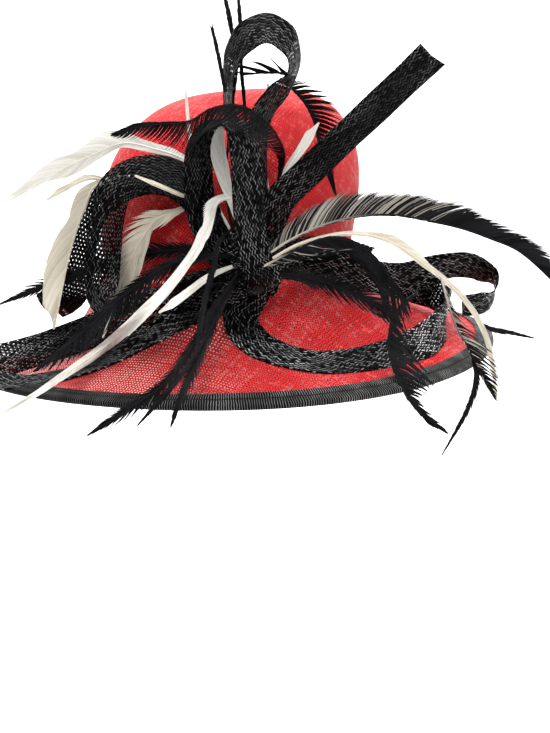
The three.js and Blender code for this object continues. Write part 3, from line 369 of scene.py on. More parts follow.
def mixColour(tree, share, first, second, blendType="MIX"):
    node = addNode(tree, "ShaderNodeMix", {"data_type": "RGBA", "blend_type": blendType},
                   {0: share, 6: first, 7: second})
    return node.outputs[2]


def mixValue(tree, share, first, second):
    node = addNode(tree, "ShaderNodeMix", {"data_type": "FLOAT"}, {0: share, 2: first, 3: second})
    return node.outputs[0]


def vectorCalc(tree, operation, first, second):
    node = addNode(tree, "ShaderNodeVectorMath", {"operation": operation}, {0: first, 1: second})
    return node.outputs[0]


def scaleVector(tree, vector, scale):
    node = addNode(tree, "ShaderNodeVectorMath", {"operation": "SCALE"}, {0: vector, "Scale": scale})
    return node.outputs[0]


def turnFlat(tree, vector, angle):
    node = addNode(tree, "ShaderNodeVectorRotate", {"rotation_type": "Z_AXIS"},
                   {"Vector": vector, "Angle": angle})
    return node.outputs[0]


def axesOf(tree, vector):
    return addNode(tree, "ShaderNodeSeparateXYZ", {}, {0: vector}).outputs


def noise(tree, vector, scale, detail=2.0):
    node = addNode(tree, "ShaderNodeTexNoise", {}, {"Vector": vector, "Scale": scale, "Detail": detail})
    return node.outputs


def newGroup(name, inputs, outputs):
    group = bpy.data.node_groups.new(name, "ShaderNodeTree")
    for label, kind in inputs:
        group.interface.new_socket(label, in_out="INPUT", socket_type=kind)
    for label, kind in outputs:
        group.interface.new_socket(label, in_out="OUTPUT", socket_type=kind)
    entry = group.nodes.new("NodeGroupInput")
    leave = group.nodes.new("NodeGroupOutput")
    return group, entry.outputs, leave.inputs


# plain weave of stiff straw threads: over and under, uneven spacing, a tone for each thread
weaveLook = {
    "driftScale": 0.22,
    "driftReach": 4.0,
    "crossing": 0.35,
    "underLift": 0.5,
    "gapEdge": (-0.08, 0.1),
    "toneSteps": (0.73, 0.79),
    "toneAlong": 0.09,
    "toneRange": (0.3, 0.7),
}
weaveGroup, weaveIn, weaveOut = newGroup(
    "straw_weave",
    [("Cloth", "NodeSocketVector"), ("Threads per metre", "NodeSocketFloat"),
     ("Looseness", "NodeSocketFloat"), ("Openness", "NodeSocketFloat")],
    [("Height", "NodeSocketFloat"), ("Gap", "NodeSocketFloat"), ("Tone", "NodeSocketFloat")],
)
scaled = scaleVector(weaveGroup, weaveIn["Cloth"], weaveIn["Threads per metre"])
drift = noise(weaveGroup, scaled, weaveLook["driftScale"])["Color"]
drift = vectorCalc(weaveGroup, "SUBTRACT", drift, (0.5, 0.5, 0.5))
drift = scaleVector(weaveGroup, drift, times(weaveGroup, weaveIn["Looseness"], weaveLook["driftReach"]))
threads = axesOf(weaveGroup, vectorCalc(weaveGroup, "ADD", scaled, drift))
waveU = calc(weaveGroup, "SINE", times(weaveGroup, threads["X"], math.pi))
waveV = calc(weaveGroup, "SINE", times(weaveGroup, threads["Y"], math.pi))
overMask = remap(weaveGroup, times(weaveGroup, waveU, waveV), -weaveLook["crossing"], weaveLook["crossing"])
underMask = calc(weaveGroup, "SUBTRACT", 1.0, overMask)
threadU = calc(weaveGroup, "ABSOLUTE", waveU)
threadV = calc(weaveGroup, "ABSOLUTE", waveV)
liftU = times(weaveGroup, threadU, remap(weaveGroup, overMask, 0.0, 1.0, weaveLook["underLift"], 1.0))
liftV = times(weaveGroup, threadV, remap(weaveGroup, underMask, 0.0, 1.0, weaveLook["underLift"], 1.0))
height = calc(weaveGroup, "MAXIMUM", liftU, liftV)
bareness = calc(weaveGroup, "SUBTRACT", weaveIn["Openness"], calc(weaveGroup, "MAXIMUM", threadU, threadV))
gapMask = remap(weaveGroup, bareness, *weaveLook["gapEdge"])
threadTones = []
for order in (0, 1):
    stepped = times(weaveGroup, calc(weaveGroup, "FLOOR", threads[order]), weaveLook["toneSteps"][order])
    drawn = times(weaveGroup, threads[1 - order], weaveLook["toneAlong"])
    spot = addNode(weaveGroup, "ShaderNodeCombineXYZ", {}, {order: stepped, 1 - order: drawn}).outputs[0]
    threadTones.append(noise(weaveGroup, spot, 1.0)[0])
tone = mixValue(weaveGroup, overMask, threadTones[1], threadTones[0])
weaveGroup.links.new(height, weaveOut["Height"])
weaveGroup.links.new(gapMask, weaveOut["Gap"])
weaveGroup.links.new(remap(weaveGroup, tone, *weaveLook["toneRange"]), weaveOut["Tone"])


def newMaterial(name, roughness, specular=0.5):
    material = bpy.data.materials.new(name)
    material.use_nodes = True
    tree = material.node_tree
    shader = tree.nodes["Principled BSDF"].inputs
    shader["Roughness"].default_value = roughness
    shader["Specular IOR Level"].default_value = specular
    return material, tree, shader


def weaveNode(tree, vector, count, looseness, openness):
    node = addNode(tree, "ShaderNodeGroup", {"node_tree": weaveGroup}, {
        "Cloth": vector,
        "Threads per metre": count,
        "Looseness": looseness,
        "Openness": openness,
    })
    return [node.outputs[label] for label in ("Height", "Gap", "Tone")]


def bumpFrom(tree, shader, height, distance, strength=1.0):
    node = addNode(tree, "ShaderNodeBump", {},
                   {"Height": height, "Distance": distance, "Strength": strength})
    tree.links.new(node.outputs[0], shader["Normal"])


# red straw: the brim's cloth lies flat before it is blocked, the crown's wraps round the side. The weave's
# hollows carry painted shade, its gaps show pale as painted highlights, least on the right and at the back,
# and the front left carries painted shade. Places are in metres.
redLook = {
    "shadedRed": (0.06, 0.001, 0.001, 1),
    "bright": (0.74, 0.018, 0.023, 1),
    "pale": (0.95, 0.5, 0.47, 1),
    "relief": (0.5, 1.0),
    "palest": (0.6, 1.0),
    "paleThreads": 0.1,
    "crownGapHighlight": (0.06, 0.2),
    "brimGapHighlight": (0.25, 1.0),
    "cloudScale": 22.0,
    "cloudDetail": 3.0,
    "cloudRange": (0.42, 0.62),
    "crownTop": (0.62, 0.78),
    "leftward": (-0.05, 0.06),
    "backward": (-0.06, 0.04),
    "rightHighlightShare": 0.3,
    "backHighlightShare": 0.3,
    "leftShade": 0.42,
    "crownThreads": 560.0,
    "brimThreads": 460.0,
    "looseness": 0.45,
    "bias": 0.62,
    "openness": 0.62,
    "roughness": (0.62, 0.4),
    "specular": 0.03,
    "bump": 0.0004,
    "bumpStrength": 0.7,
}


def redMaterial(name, wrapped):
    material, tree, shader = newMaterial(name, redLook["roughness"][0], redLook["specular"])
    place = addNode(tree, "ShaderNodeTexCoord", {}, {}).outputs
    threadCount = redLook["crownThreads" if wrapped else "brimThreads"]
    weave = (threadCount, redLook["looseness"], redLook["openness"])
    height, gap, tone = weaveNode(tree, turnFlat(tree, place["Object"], redLook["bias"]), *weave)
    if wrapped:
        side = weaveNode(tree, turnFlat(tree, place["UV"], redLook["bias"]), *weave)
        facing = addNode(tree, "ShaderNodeNewGeometry", {}, {}).outputs["Normal"]
        topMask = remap(tree, axesOf(tree, facing)["Z"], *redLook["crownTop"])
        height, gap, tone = (
            mixValue(tree, topMask, sideValue, topValue)
            for sideValue, topValue in zip(side, (height, gap, tone))
        )
    # painted shade: the weave's hollows darken towards the shaded red
    colour = mixColour(tree, remap(tree, height, *redLook["relief"]), redLook["shadedRed"], redLook["bright"])
    paleThread = times(tree, remap(tree, tone, *redLook["palest"]), redLook["paleThreads"])
    colour = mixColour(tree, paleThread, colour, redLook["pale"])
    # painted highlights: the weave's gaps turn pale in cloudy patches, standing for light seen through the
    # weave and glints on its threads
    cloud = noise(tree, place["Object"], redLook["cloudScale"], redLook["cloudDetail"])[0]
    gapHighlightRange = redLook["crownGapHighlight" if wrapped else "brimGapHighlight"]
    gapHighlightShare = remap(tree, cloud, *redLook["cloudRange"], *gapHighlightRange)
    if not wrapped:
        spot = axesOf(tree, place["Object"])
        leftward = remap(tree, spot["X"], *redLook["leftward"], 1.0, 0.0)
        backward = remap(tree, spot["Y"], *redLook["backward"], 1.0, redLook["backHighlightShare"])
        # fewer painted highlights on the right and at the back
        gapHighlightShare = times(tree, gapHighlightShare, remap(tree, leftward, 0.0, 1.0, redLook["rightHighlightShare"], 1.0))
        gapHighlightShare = times(tree, gapHighlightShare, backward)
        # painted shade: the left side darkens towards the shaded red
        colour = mixColour(tree, times(tree, leftward, redLook["leftShade"]), colour, redLook["shadedRed"])
    colour = mixColour(tree, times(tree, gap, gapHighlightShare), colour, redLook["pale"])
    tree.links.new(colour, shader["Base Color"])
    tree.links.new(remap(tree, tone, 0.0, 1.0, *redLook["roughness"]), shader["Roughness"])
    bumpFrom(tree, shader, height, redLook["bump"], redLook["bumpStrength"])
    return material


redCrown = redMaterial("red_straw_crown", True)
redBrim = redMaterial("red_straw_brim", False)

# black straw strips: open mesh with glossy threads, cut on the bias and drawn out lengthways. The glints
# are painted highlights, fewer high up and on the left, and the hollows between threads carry painted
# shade.
# Places are in metres.
blackLook = {
    "dark": (0.0003, 0.0003, 0.0003, 1),
    "thread": (0.0025, 0.0025, 0.003, 1),
    "glint": (0.52, 0.53, 0.53, 1),
    "relief": (0.4, 1.0),
    "glintTone": (0.2, 0.75),
    "glintRelief": (0.85, 0.98),
    "shineScale": 18.0,
    "shineRange": (0.36, 0.62),
    "dullShare": 0.2,
    "highward": (-0.04, 0.03),
    "highShare": 0.22,
    "rightward": (-0.12, 0.0),
    "leftShare": 0.4,
    "threads": 640.0,
    "looseness": 0.3,
    "lengthways": 0.4,
    "bias": 0.785,
    "slackScale": 16.0,
    "slackRange": (0.4, 0.62),
    "closed": 0.4,
    "open": 0.56,
    "holeClearness": 0.95,
    "roughness": (0.42, 0.2),
    "specular": 0.025,
    "bump": 0.0005,
}
blackStraw, tree, shader = newMaterial("black_straw", blackLook["roughness"][0], blackLook["specular"])
place = addNode(tree, "ShaderNodeTexCoord", {}, {}).outputs
drawn = vectorCalc(tree, "MULTIPLY", place["UV"], (blackLook["lengthways"], 1, 1))
slack = noise(tree, place["Object"], blackLook["slackScale"])[0]
openness = remap(tree, slack, *blackLook["slackRange"], blackLook["closed"], blackLook["open"])
height, gap, tone = weaveNode(tree, turnFlat(tree, drawn, blackLook["bias"]),
                              blackLook["threads"], blackLook["looseness"], openness)
# painted shade: the hollows between threads are darker
colour = mixColour(tree, remap(tree, height, *blackLook["relief"]), blackLook["dark"], blackLook["thread"])
shine = noise(tree, place["Object"], blackLook["shineScale"])[0]
spot = axesOf(tree, place["Object"])
# painted highlights: glints on raised threads, in patches, fewer high up and on the left
glint = times(tree, remap(tree, tone, *blackLook["glintTone"]),
              remap(tree, height, *blackLook["glintRelief"]))
glint = times(tree, glint, remap(tree, shine, *blackLook["shineRange"], blackLook["dullShare"], 1.0))
glint = times(tree, glint, remap(tree, spot["Z"], *blackLook["highward"], 1.0, blackLook["highShare"]))
glint = times(tree, glint, remap(tree, spot["X"], *blackLook["rightward"], blackLook["leftShare"], 1.0))
tree.links.new(mixColour(tree, glint, colour, blackLook["glint"]), shader["Base Color"])
tree.links.new(remap(tree, tone, 0.0, 1.0, *blackLook["roughness"]), shader["Roughness"])
solidShare = calc(tree, "SUBTRACT", 1.0, times(tree, gap, blackLook["holeClearness"]))
tree.links.new(solidShare, shader["Alpha"])
bumpFrom(tree, shader, height, blackLook["bump"])

# ribbed ribbon: fine ribs across it painted lighter as painted highlights, dimmer in patches and towards
# the left as painted shade, and a stitched line along it, in metres of ribbon
ribbonLook = {
    "dark": (0.001, 0.001, 0.001, 1),
    "rib": (0.29, 0.29, 0.285, 1),
    "ribsPerMetre": 640.0,
    "ribEdge": (0.3, 1.0),
    "puckerScale": 130.0,
    "pucker": 0.0011,
    "stitchAt": 0.0076,
    "stitchHalf": 0.0006,
    "stitchDepth": 1.5,
    "stitchShade": 0.8,
    "rightward": (-0.12, 0.08),
    "leftShare": 0.3,
    "ribPatchScale": 60.0,
    "ribPatchRange": (0.35, 0.65),
    "dullRibShare": 0.4,
    "roughness": 0.6,
    "specular": 0.04,
    "bump": 0.0005,
}
ribbon, tree, shader = newMaterial("black_ribbon", ribbonLook["roughness"], ribbonLook["specular"])
place = addNode(tree, "ShaderNodeTexCoord", {}, {}).outputs
cloth = axesOf(tree, place["UV"])
pull = calc(tree, "SUBTRACT", noise(tree, place["Object"], ribbonLook["puckerScale"])[0], 0.5)
pull = times(tree, pull, ribbonLook["pucker"] * 2)
ribTurn = times(tree, calc(tree, "ADD", cloth["X"], pull), ribbonLook["ribsPerMetre"] * 2 * math.pi)
rib = remap(tree, calc(tree, "SINE", ribTurn), *ribbonLook["ribEdge"])
fromStitch = calc(tree, "SUBTRACT", calc(tree, "ADD", cloth["Y"], pull), ribbonLook["stitchAt"])
stitch = remap(tree, calc(tree, "ABSOLUTE", fromStitch), ribbonLook["stitchHalf"] * 2, 0.0)
# the rib highlights are painted: they dim in patches, and towards the left as painted shade
ribPatch = noise(tree, place["Object"], ribbonLook["ribPatchScale"])[0]
rimAcross = axesOf(tree, place["Object"])["X"]
lit = times(tree, remap(tree, rimAcross, *ribbonLook["rightward"], ribbonLook["leftShare"], 1.0),
            remap(tree, ribPatch, *ribbonLook["ribPatchRange"], ribbonLook["dullRibShare"], 1.0))
colour = mixColour(tree, times(tree, rib, lit), ribbonLook["dark"], ribbonLook["rib"])
colour = mixColour(tree, times(tree, stitch, ribbonLook["stitchShade"]), colour, ribbonLook["dark"])
tree.links.new(colour, shader["Base Color"])
relief = calc(tree, "SUBTRACT", rib, times(tree, stitch, ribbonLook["stitchDepth"]))
bumpFrom(tree, shader, relief, ribbonLook["bump"])

# feathers: a tone for each barb, another colour at its tip, and some barbs of the other tone
featherLooks = {
    "black": {
        "base": (0.007, 0.007, 0.008, 1),
        "tip": (0.013, 0.013, 0.015, 1),
        "shade": (0.05, 0.05, 0.05, 1),
        "other": (0.5, 0.46, 0.4, 1),
        "roughness": 0.42,
        "specular": 0.04,
    },
    "cream": {
        "base": (0.60, 0.55, 0.45, 1),
        "tip": (0.70, 0.66, 0.57, 1),
        "shade": (0.66, 0.62, 0.56, 1),
        "other": (0.4, 0.36, 0.3, 1),
        "roughness": 0.6,
        "specular": 0.1,
    },
    "white": {
        "base": (0.70, 0.68, 0.63, 1),
        "tip": (0.80, 0.79, 0.75, 1),
        "shade": (0.70, 0.68, 0.64, 1),
        "other": (0.5, 0.48, 0.44, 1),
        "roughness": 0.6,
        "specular": 0.1,
    },
}
grainLook = {"shadeShare": 0.9, "scale": 900.0, "bump": 0.0002, "bumpStrength": 0.5}
featherMaterials = {}
for toneName, look in featherLooks.items():
    material, tree, shader = newMaterial("feather_" + toneName, look["roughness"], look["specular"])
    place = addNode(tree, "ShaderNodeTexCoord", {}, {}).outputs
    barb = addNode(tree, "ShaderNodeAttribute", {"attribute_name": "barbTone"}, {}).outputs["Fac"]
    other = addNode(tree, "ShaderNodeAttribute", {"attribute_name": "otherTone"}, {}).outputs["Fac"]
    colour = mixColour(tree, axesOf(tree, place["UV"])["Y"], look["base"], look["tip"])
    colour = mixColour(tree, other, colour, look["other"])
    shaded = mixColour(tree, 1.0, colour, look["shade"], "MULTIPLY")
    colour = mixColour(tree, times(tree, barb, grainLook["shadeShare"]), colour, shaded)
    tree.links.new(colour, shader["Base Color"])
    grain = noise(tree, place["Object"], grainLook["scale"])[0]
    bumpFrom(tree, shader, grain, grainLook["bump"], grainLook["bumpStrength"])
    featherMaterials[toneName] = material
print("materials made")

# crown: one smooth wall, open at the head, with its rings set closer near the opening
crownLook = {"sides": 128, "rings": 72, "top": 90, "crowding": 1.25}
crownClimbs = []
for ring in range(crownLook["rings"] + 1):
    share = ring / crownLook["rings"]
    crownClimbs.append(math.radians(crownLook["top"]) * share ** crownLook["crowding"])


def crownPlace(i, j):
    return crownPoint(2 * math.pi * i / crownLook["sides"], crownClimbs[j])


crownArc = [0]
for ring in range(crownLook["rings"]):
    crownArc.append(crownArc[-1] + (crownPlace(0, ring + 1) - crownPlace(0, ring)).length)
crownRound = math.pi * (hatSizes["headHalfWidth"] + hatSizes["headHalfLength"])
crown = makeSheet(
    crownLook["sides"], crownLook["rings"], crownPlace,
    lambda i, j: (crownRound * i / crownLook["sides"], crownArc[j]),
    hatSizes["wall"], -1.0, True)
finishPiece(crown, "crown_straw", "red_straw", redCrown, "crown_side", "crown_tip")
print("crown made", len(crown.data.polygons))

# brim: one wall from the head opening to the rim. round and out are its map's size
brimLook = {"sides": 200, "rings": 46, "round": 1100, "out": 120}


# The inner edge tucks under the crown's wall.
def brimPlace(i, j):
    tuck = hatSizes["wall"] / hatSizes["brimRun"]
    share = -tuck + (1 + tuck) * j / brimLook["rings"]
    point = brimPoint(2 * math.pi * i / brimLook["sides"], share, hatSizes["wall"] / 2)
    point.z -= hatSizes["gap"] + hatSizes["wall"] / 2
    return point


brim = makeSheet(
    brimLook["sides"], brimLook["rings"], brimPlace,
    lambda i, j: (brimLook["round"] * i / brimLook["sides"], brimLook["out"] * j / brimLook["rings"]),
    hatSizes["wall"], -1.0, True)
finishPiece(brim, "brim_straw", "red_straw", redBrim, "brim")
print("brim made", len(brim.data.polygons))

# binding: a ribbon folded over the rim. along runs outwards from the rim, raised is above the brim's middle
bindingLook = {"sides": 360, "wall": 0.8, "round": 1190, "measuredAt": 270}
bindingSection = [
    dict(along=-14.0, raised=1.45),
    dict(along=-13.6, raised=2.0),
    dict(along=-12.0, raised=2.1),
    dict(along=-9.4, raised=2.1),
    dict(along=-8.6, raised=2.3),
    dict(along=-7.8, raised=1.7),
    dict(along=-7.0, raised=2.2),
    dict(along=-4.0, raised=2.1),
    dict(along=-0.5, raised=2.05),
    dict(along=0.7, raised=1.7),
    dict(along=1.3, raised=0.8),
    dict(along=1.45, raised=0.0),
    dict(along=1.3, raised=-0.8),
    dict(along=0.7, raised=-1.7),
    dict(along=-0.5, raised=-2.05),
    dict(along=-7.0, raised=-2.05),
    dict(along=-13.6, raised=-2.0),
    dict(along=-14.0, raised=-1.45),
]


def bindingPlace(i, j):
    corner = bindingSection[j]
    share = 1 + corner["along"] / hatSizes["brimRun"]
    point = brimPoint(2 * math.pi * i / bindingLook["sides"], share, corner["raised"])
    point.z -= hatSizes["gap"] + hatSizes["wall"] / 2
    return point


bindingArc = [0]
for j in range(len(bindingSection) - 1):
    step = bindingPlace(bindingLook["measuredAt"], j + 1) - bindingPlace(bindingLook["measuredAt"], j)
    bindingArc.append(bindingArc[-1] + step.length)
binding = makeSheet(
    bindingLook["sides"], len(bindingSection) - 1, bindingPlace,
    lambda i, j: (bindingLook["round"] * i / bindingLook["sides"], bindingArc[j]),
    bindingLook["wall"], -1.0, True)
finishPiece(binding, "binding_ribbon", "black_ribbon", ribbon, "edge_binding")
print("binding made", len(binding.data.polygons))

# knot: the gathered middle of the bow. map is metres of straw round it and up it
knotLook = {
    "spot": (250, 262, 122),
    "halfX": 17,
    "halfY": 20,
    "halfZ": 21,
    "folds": 9,
    "depth": 0.06,
    "twist": 1.2,
    "map": (0.12, 0.06),
}
knotPlace = seenInFront(*knotLook["spot"])
bpy.ops.object.select_all(action="DESELECT")
bpy.ops.mesh.primitive_uv_sphere_add(segments=96, ring_count=40, radius=1, calc_uvs=True)
knot = bpy.context.object
for vertex in knot.data.vertices:
    place = vertex.co.copy()
    around = math.atan2(place.y, place.x) + knotLook["twist"] * place.z
    pinch = math.hypot(place.x, place.y)
    fold = 1 + knotLook["depth"] * math.cos(knotLook["folds"] * around) * pinch
    vertex.co = (knotPlace + Vector((
        knotLook["halfX"] * fold * place.x,
        knotLook["halfY"] * fold * place.y,
        knotLook["halfZ"] * place.z,
    ))) * toMetres
for loop in knot.data.uv_layers.active.data:
    loop.uv = (loop.uv[0] * knotLook["map"][0], loop.uv[1] * knotLook["map"][1])
bpy.ops.object.shade_smooth()
finishPiece(knot, "knot_straw", "black_straw", blackStraw, "knot")
print("knot made")

# strips, from the knot outwards
stripTable = {
    "loop_front": [
        seen(240, 276, 130, tilt=25),
        seen(221, 252, 131, tilt=30),
        seen(206, 226, 131, tilt=35),
        seen(200, 200, 131, tilt=37),
        seen(198, 172, 131, tilt=37),
        seen(200, 148, 132, tilt=45),
        seen(208, 128, 135, tilt=64),
        seen(222, 119, 140, tilt=90),
        seen(236, 126, 145, tilt=118),
        seen(245, 146, 148, tilt=140),
        seen(247, 175, 150, tilt=145),
        seen(249, 208, 151, tilt=145),
        seen(252, 240, 151, tilt=145),
        seen(259, 268, 148, tilt=148),
        seen(264, 284, 140, tilt=152),
        seen(258, 288, 128, tilt=152),
    ],
    "loop_brim_right": [
        seen(256, 284, 128, tilt=0),
        laid(249, 300, 4, lean=0),
        laid(241, 315, 1, lean=0),
        laid(245, 331, 1, lean=0),
        laid(261, 346, 1, lean=0),
        laid(287, 356, 1, lean=0),
        laid(318, 362, 1, lean=0),
        laid(352, 361, 1, lean=5),
        laid(388, 354, 2, lean=12),
        laid(418, 344, 5, lean=26),
        laid(438, 329, 8.5, lean=50),
        laid(447, 311, 12, lean=80),
        laid(440, 296, 13, lean=90),
        laid(420, 289, 13, lean=90),
        laid(390, 281, 14, lean=90),
        laid(350, 273, 16, lean=90),
        laid(310, 266, 16, lean=90),
        seen(262, 262, 130, tilt=180),
    ],
    "strip_tail": [
        seen(256, 252, 124, tilt=10),
        seen(267, 226, 124, tilt=22),
        seen(280, 200, 126, tilt=30),
        seen(301, 179, 128, tilt=36),
        seen(326, 155, 131, tilt=38),
        seen(360, 123, 135, tilt=38),
        seen(396, 89, 139, tilt=36),
        seen(433, 54, 142, tilt=34),
    ],
    "loop_top": [
        seen(245, 252, 126, tilt=-55),
        seen(241, 215, 125, tilt=-66),
        seen(239, 175, 124, tilt=-70),
        seen(234, 138, 124, tilt=-72),
        seen(229, 106, 124, tilt=-73),
        seen(229, 78, 126, tilt=-72),
        seen(234, 54, 129, tilt=-60),
        seen(247, 36, 132, tilt=-40),
        seen(267, 28, 134, tilt=-36),
        seen(285, 37, 133, tilt=-46),
        seen(294, 54, 130, tilt=-70),
        seen(293, 72, 127, tilt=-76),
        seen(278, 92, 124, tilt=-56),
        seen(262, 114, 122, tilt=-56),
        seen(258, 140, 122, tilt=-60),
        seen(258, 175, 123, tilt=-60),
        seen(258, 215, 124, tilt=-60),
        seen(256, 252, 126, tilt=-55),
    ],
    "loop_left": [
        seen(232, 258, 118, tilt=60),
        seen(214, 226, 117, tilt=50),
        seen(200, 198, 117, tilt=40),
        seen(184, 180, 115, tilt=35),
        seen(160, 171, 113, tilt=30),
        seen(134, 175, 112, tilt=20),
        seen(115, 190, 112, tilt=5),
        seen(107, 214, 112, tilt=0),
        seen(104, 245, 114, tilt=0),
        seen(102, 275, 116, tilt=8),
        seen(101, 300, 118, tilt=45),
        seen(112, 312, 120, tilt=80),
        seen(140, 304, 122, tilt=80),
        seen(180, 285, 124, tilt=80),
        seen(232, 268, 124, tilt=80),
    ],
    "loop_left_outer": [
        seen(232, 262, 112, tilt=60),
        seen(214, 232, 108, tilt=35),
        seen(200, 204, 106, tilt=24),
        seen(184, 187, 104, tilt=20),
        seen(160, 178, 99, tilt=20),
        seen(134, 181, 91, tilt=20),
        seen(110, 192, 82, tilt=20),
        seen(92, 209, 76, tilt=20),
        seen(82, 235, 73, tilt=10),
        seen(77, 265, 73, tilt=0),
        seen(72, 292, 74, tilt=-20),
        seen(62, 309, 75, tilt=-60),
        seen(50, 303, 76, tilt=-110),
        seen(50, 286, 77, tilt=-140),
    ],
    "loop_brim_left": [
        seen(238, 282, 132, tilt=20),
        laid(208, 302, 4, lean=0),
        laid(182, 316, 1, lean=0),
        laid(148, 335, 1, lean=0),
        laid(110, 356, 1, lean=0),
        laid(66, 374, 1, lean=0),
        laid(20, 382, 1.5, lean=-5),
        laid(-14, 380, 4, lean=-25),
        laid(-34, 374, 10, lean=-70),
        laid(-20, 365, 12, lean=-95),
        laid(10, 358, 12, lean=-115),
        laid(44, 348, 12, lean=-125),
        laid(84, 334, 11, lean=-130),
        laid(130, 316, 11, lean=-130),
        laid(180, 296, 12, lean=-130),
        seen(236, 274, 132, tilt=120),
    ],
    "loop_right_rear": [
        seen(262, 258, 120, tilt=20),
        seen(310, 266, 104, tilt=20),
        seen(360, 275, 86, tilt=20),
        seen(400, 278, 68, tilt=25),
        seen(430, 270, 58, tilt=35),
        seen(464, 265, 52, tilt=38),
        seen(486, 274, 50, tilt=50),
        seen(495, 288, 50, tilt=90),
        seen(484, 302, 50, tilt=125),
        seen(462, 306, 54, tilt=125),
    ],
    "strip_short": [
        seen(262, 264, 130, tilt=0),
        seen(295, 251, 126, tilt=10),
        seen(328, 249, 122, tilt=15),
        seen(350, 253, 119, tilt=15),
        seen(366, 258, 117, tilt=15),
    ],
}
# millimetres: waver, crease and hem are off the flat. A cut end slants over its last stations.
stripLook = {
    "width": 22,
    "wall": 1.0,
    "spacing": 2.5,
    "across": 12,
    "waver": 0.25,
    "waverLength": 0.13,
    "waverPiece": 2.1,
    "waverSide": 1.7,
    "crease": 0.24,
    "creaseMiddle": 0.6,
    "hem": 0.14,
    "hemFrom": 0.8,
    "endStations": 8,
    "mapStep": 40,
}
stripWidths = {"strip_short": 16}
stripEnds = {
    "strip_tail": {"slant": -1.5, "notch": 1.2},
    "strip_short": {"slant": 3.0, "notch": 0.0},
    "loop_left_outer": {"slant": 4.0, "notch": 0.0},
    "loop_right_rear": {"slant": 3.0, "notch": 0.0},
}


def makeStrip(number, name, rows):
    stations = stationsAlong(rows, stripLook["spacing"])
    half = stripWidths.get(name, stripLook["width"]) / 2
    last = len(stations) - 1
    across = stripLook["across"]

    def endPull(i, side):
        if name not in stripEnds:
            return 0.0
        ends = stripEnds[name]
        ending = max(0.0, 1 - (last - i) / stripLook["endStations"])
        return ending * (ends["slant"] * side - ends["notch"] * (1 - abs(side)))

    def stripPlace(i, j):
        station = stations[i]
        side = 2 * j / across - 1
        wave = (station["length"] * stripLook["waverLength"] + number * stripLook["waverPiece"]
                + side * stripLook["waverSide"])
        rise = stripLook["waver"] * math.sin(wave)
        rise += stripLook["crease"] * (abs(side) ** 0.5 - stripLook["creaseMiddle"])
        rise -= stripLook["hem"] if abs(side) > stripLook["hemFrom"] else 0.0
        return (
            station["centre"]
            + station["widthway"] * (half * side)
            + station["face"] * rise
            + station["tangent"] * endPull(i, side)
        )

    piece = makeSheet(
        last, across, stripPlace,
        lambda i, j: (stations[i]["length"], half * 2 * j / across + number * stripLook["mapStep"]),
        stripLook["wall"])
    finishPiece(piece, name + "_straw", "black_straw", blackStraw, name)


for number, (name, rows) in enumerate(stripTable.items()):
    makeStrip(number, name, rows)
print("strips made", len(stripTable))

